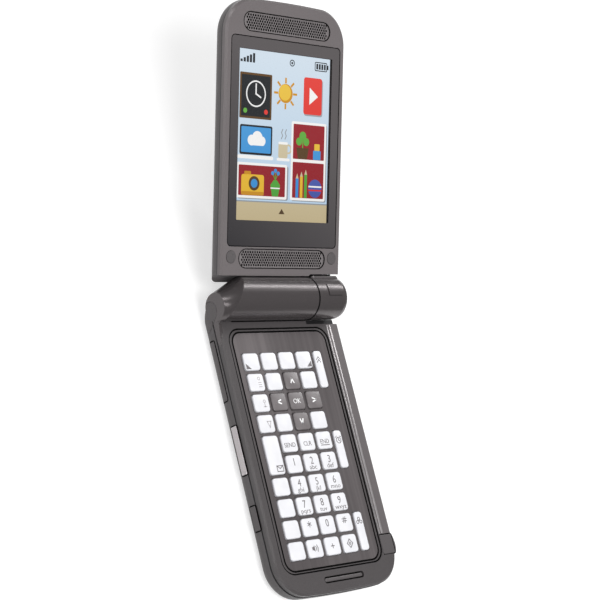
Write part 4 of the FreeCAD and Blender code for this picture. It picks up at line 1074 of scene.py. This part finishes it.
    def shelf(self):
        """Low crimson shelf with a yellow camera and a vase."""
        self.tile("mist", -19.0, 2.6, 31.6, 42.6, 2, 0.6)
        self.tile("paper", -19.6, 2.0, 31.9, 43.1, 3, 0.6)
        self.tile("crimson", -18.8, 1.2, 32.7, 42.3, 4, 0.3)
        self.tile("gold", -17.6, -8.0, 32.8, 39.4, 5, 0.8)
        self.tile("amber", -16.4, -13.6, 39.2, 40.4, 5, 0.3)
        self.tile("amber", -17.6, -8.0, 32.8, 34.0, 6, 0.5)
        self.spot("wood", -12.2, 36.6, 2.3, 7)
        self.spot("azure", -12.2, 36.6, 1.4, 8)
        self.shape("leaf", [(-4.4, 32.8), (-1.8, 32.8), (-1.0, 36.4), (-2.4, 38.0), (-3.8, 38.0),
                            (-5.2, 36.4)], 5)
        self.line("paper", [(-4.9, 35.4), (-1.3, 35.4)], 0.4, 6)
        for x, u in ((-4.3, 40.2), (-3.1, 41.0), (-1.9, 40.2)):
            self.line("leaf", [(-3.1, 38.0), (x, u)], 0.25, 5)
            self.spot("azure", x, u, 0.65, 6)

    def ground(self):
        """Sand strip with a small triangle along the foot."""
        left, right, foot, _ = LIT_AREA
        self.tile("sand", left, right, foot, 31.0, 2)
        self.tile("mist", left, right, 30.7, 31.1, 3)
        self.shape("wood", [(-1.3, 27.2), (1.3, 27.2), (0, 28.9)], 3)


class FLIPPHONE_OT_stage(bpy.types.Operator):
    """Set the floor, the lamps and the camera"""
    bl_idname = "flip_phone.stage"
    bl_label = "Stage"

    # Each lamp's name, place in metres, width and depth in metres, and power in watts: a broad light over
    # the front, a weak one from the left, a strip that draws the barrel's highlight, and a weak one behind
    lamps = (("key_lamp", (-0.1, -0.3, 0.85), (0.6, 0.6), 7.4),
             ("left_lamp", (-0.6, 0.1, 0.62), (0.2, 0.2), 0.7),
             ("strip_lamp", (0.57, 0.47, 0.43), (0.5, 0.05), 1.5),
             ("rear_lamp", (-0.32, 0.52, 0.58), (0.2, 0.2), 1.0))
    aim = Vector((0, 0.04, 0.03))          # the lamps point at the middle of the phone
    floor_half = 3.0                       # metres
    floor_drop = 0.2                       # millimetres under the phone's back
    floor_lift = 0.62                      # brings the pale floor to white for the camera and in reflections
    room_light = 0.25                      # even light from all round

    def execute(self, context):
        scene = context.scene
        scene.view_settings.view_transform = "Standard"
        self.floor()
        self.world(scene)
        for lamp in self.lamps:
            self.lamp(scene, *lamp)
        self.camera(scene)
        return {"FINISHED"}

    def floor(self):
        """Sheet of white paper that keeps the phone's shadow and shows white behind it."""
        mesh = bmesh.new()
        bmesh.ops.create_grid(mesh, x_segments=1, y_segments=1, size=self.floor_half)
        bmesh.ops.translate(mesh, vec=mm(0, 0, -self.floor_drop), verts=mesh.verts)
        # Uncoated paper: matt and even, without a highlight
        material, tree, shader = blank_material("uncoated_white_paper", {"Base Color": linear("#b4b4b4"),
                                                                         "Roughness": 0.9,
                                                                         "Emission Color": linear("#ffffff")})
        path = add(tree, "ShaderNodeLightPath")
        seen = add(tree, "ShaderNodeMath", {"operation": "MAXIMUM"},
                   {0: path.outputs["Is Camera Ray"], 1: path.outputs["Is Glossy Ray"]})
        shown = add(tree, "ShaderNodeMath", {"operation": "MAXIMUM"},
                    {0: seen.outputs[0], 1: path.outputs["Is Transmission Ray"]})
        lift = add(tree, "ShaderNodeMath", {"operation": "MULTIPLY"},
                   {0: shown.outputs[0], 1: self.floor_lift})
        tree.links.new(lift.outputs[0], shader.inputs["Emission Strength"])
        new_object("floor", mesh, [material])

    def world(self, scene):
        world = bpy.data.worlds.new("studio")
        world.use_nodes = True
        tree = world.node_tree
        tree.nodes.clear()
        light = add(tree, "ShaderNodeBackground",
                    inputs={"Color": linear("#ffffff"), "Strength": self.room_light})
        add(tree, "ShaderNodeOutputWorld", inputs={"Surface": light.outputs[0]})
        scene.world = world

    def lamp(self, scene, name, place, size, power):
        data = bpy.data.lights.new(name, "AREA")
        data.shape = "RECTANGLE"
        data.size, data.size_y = size
        data.energy = power
        lamp = bpy.data.objects.new(name, data)
        lamp.location = place
        lamp.rotation_euler = (self.aim - Vector(place)).to_track_quat("-Z", "Y").to_euler()
        scene.collection.objects.link(lamp)

    def camera(self, scene):
        """Camera at the photograph's angle and distance, for a square frame."""
        data = bpy.data.cameras.new("camera")
        data.lens = 98.48
        data.sensor_width = 36.0
        data.clip_start = 0.01
        camera = bpy.data.objects.new("camera", data)
        camera.location = (-0.35940, -0.08696, 0.37713)
        camera.rotation_euler = [math.radians(a) for a in (26.325, -40.212, -18.018)]
        scene.collection.objects.link(camera)
        scene.camera = camera


class FLIPPHONE_PT_panel(bpy.types.Panel):
    """Lists the phone's sizes and pieces"""
    bl_idname = "FLIPPHONE_PT_panel"
    bl_label = "Flip Phone"
    bl_space_type = "VIEW_3D"
    bl_region_type = "UI"
    bl_category = "Flip Phone"

    def draw(self, context):
        for name in FlipPhoneSettings.__annotations__:
            self.layout.prop(context.scene.flip_phone, name)
        for operator in OPERATORS:
            self.layout.operator(operator.bl_idname)


OPERATORS = (FLIPPHONE_OT_finishes, FLIPPHONE_OT_keys, FLIPPHONE_OT_keypad_trim, FLIPPHONE_OT_hinge_gap_shade,
             FLIPPHONE_OT_side_seams, FLIPPHONE_OT_rail_cap, FLIPPHONE_OT_grilles, FLIPPHONE_OT_display,
             FLIPPHONE_OT_stage)
CLASSES = (FlipPhoneSettings,) + OPERATORS + (FLIPPHONE_PT_panel,)


def register():
    for cls in CLASSES:
        bpy.utils.register_class(cls)
    bpy.types.Scene.flip_phone = bpy.props.PointerProperty(type=FlipPhoneSettings)


def unregister():
    del bpy.types.Scene.flip_phone
    for cls in reversed(CLASSES):
        bpy.utils.unregister_class(cls)


def main():
    register()
    for operator in OPERATORS:
        group, name = operator.bl_idname.split(".")
        getattr(getattr(bpy.ops, group), name)()


if __name__ == "__main__":
    main()
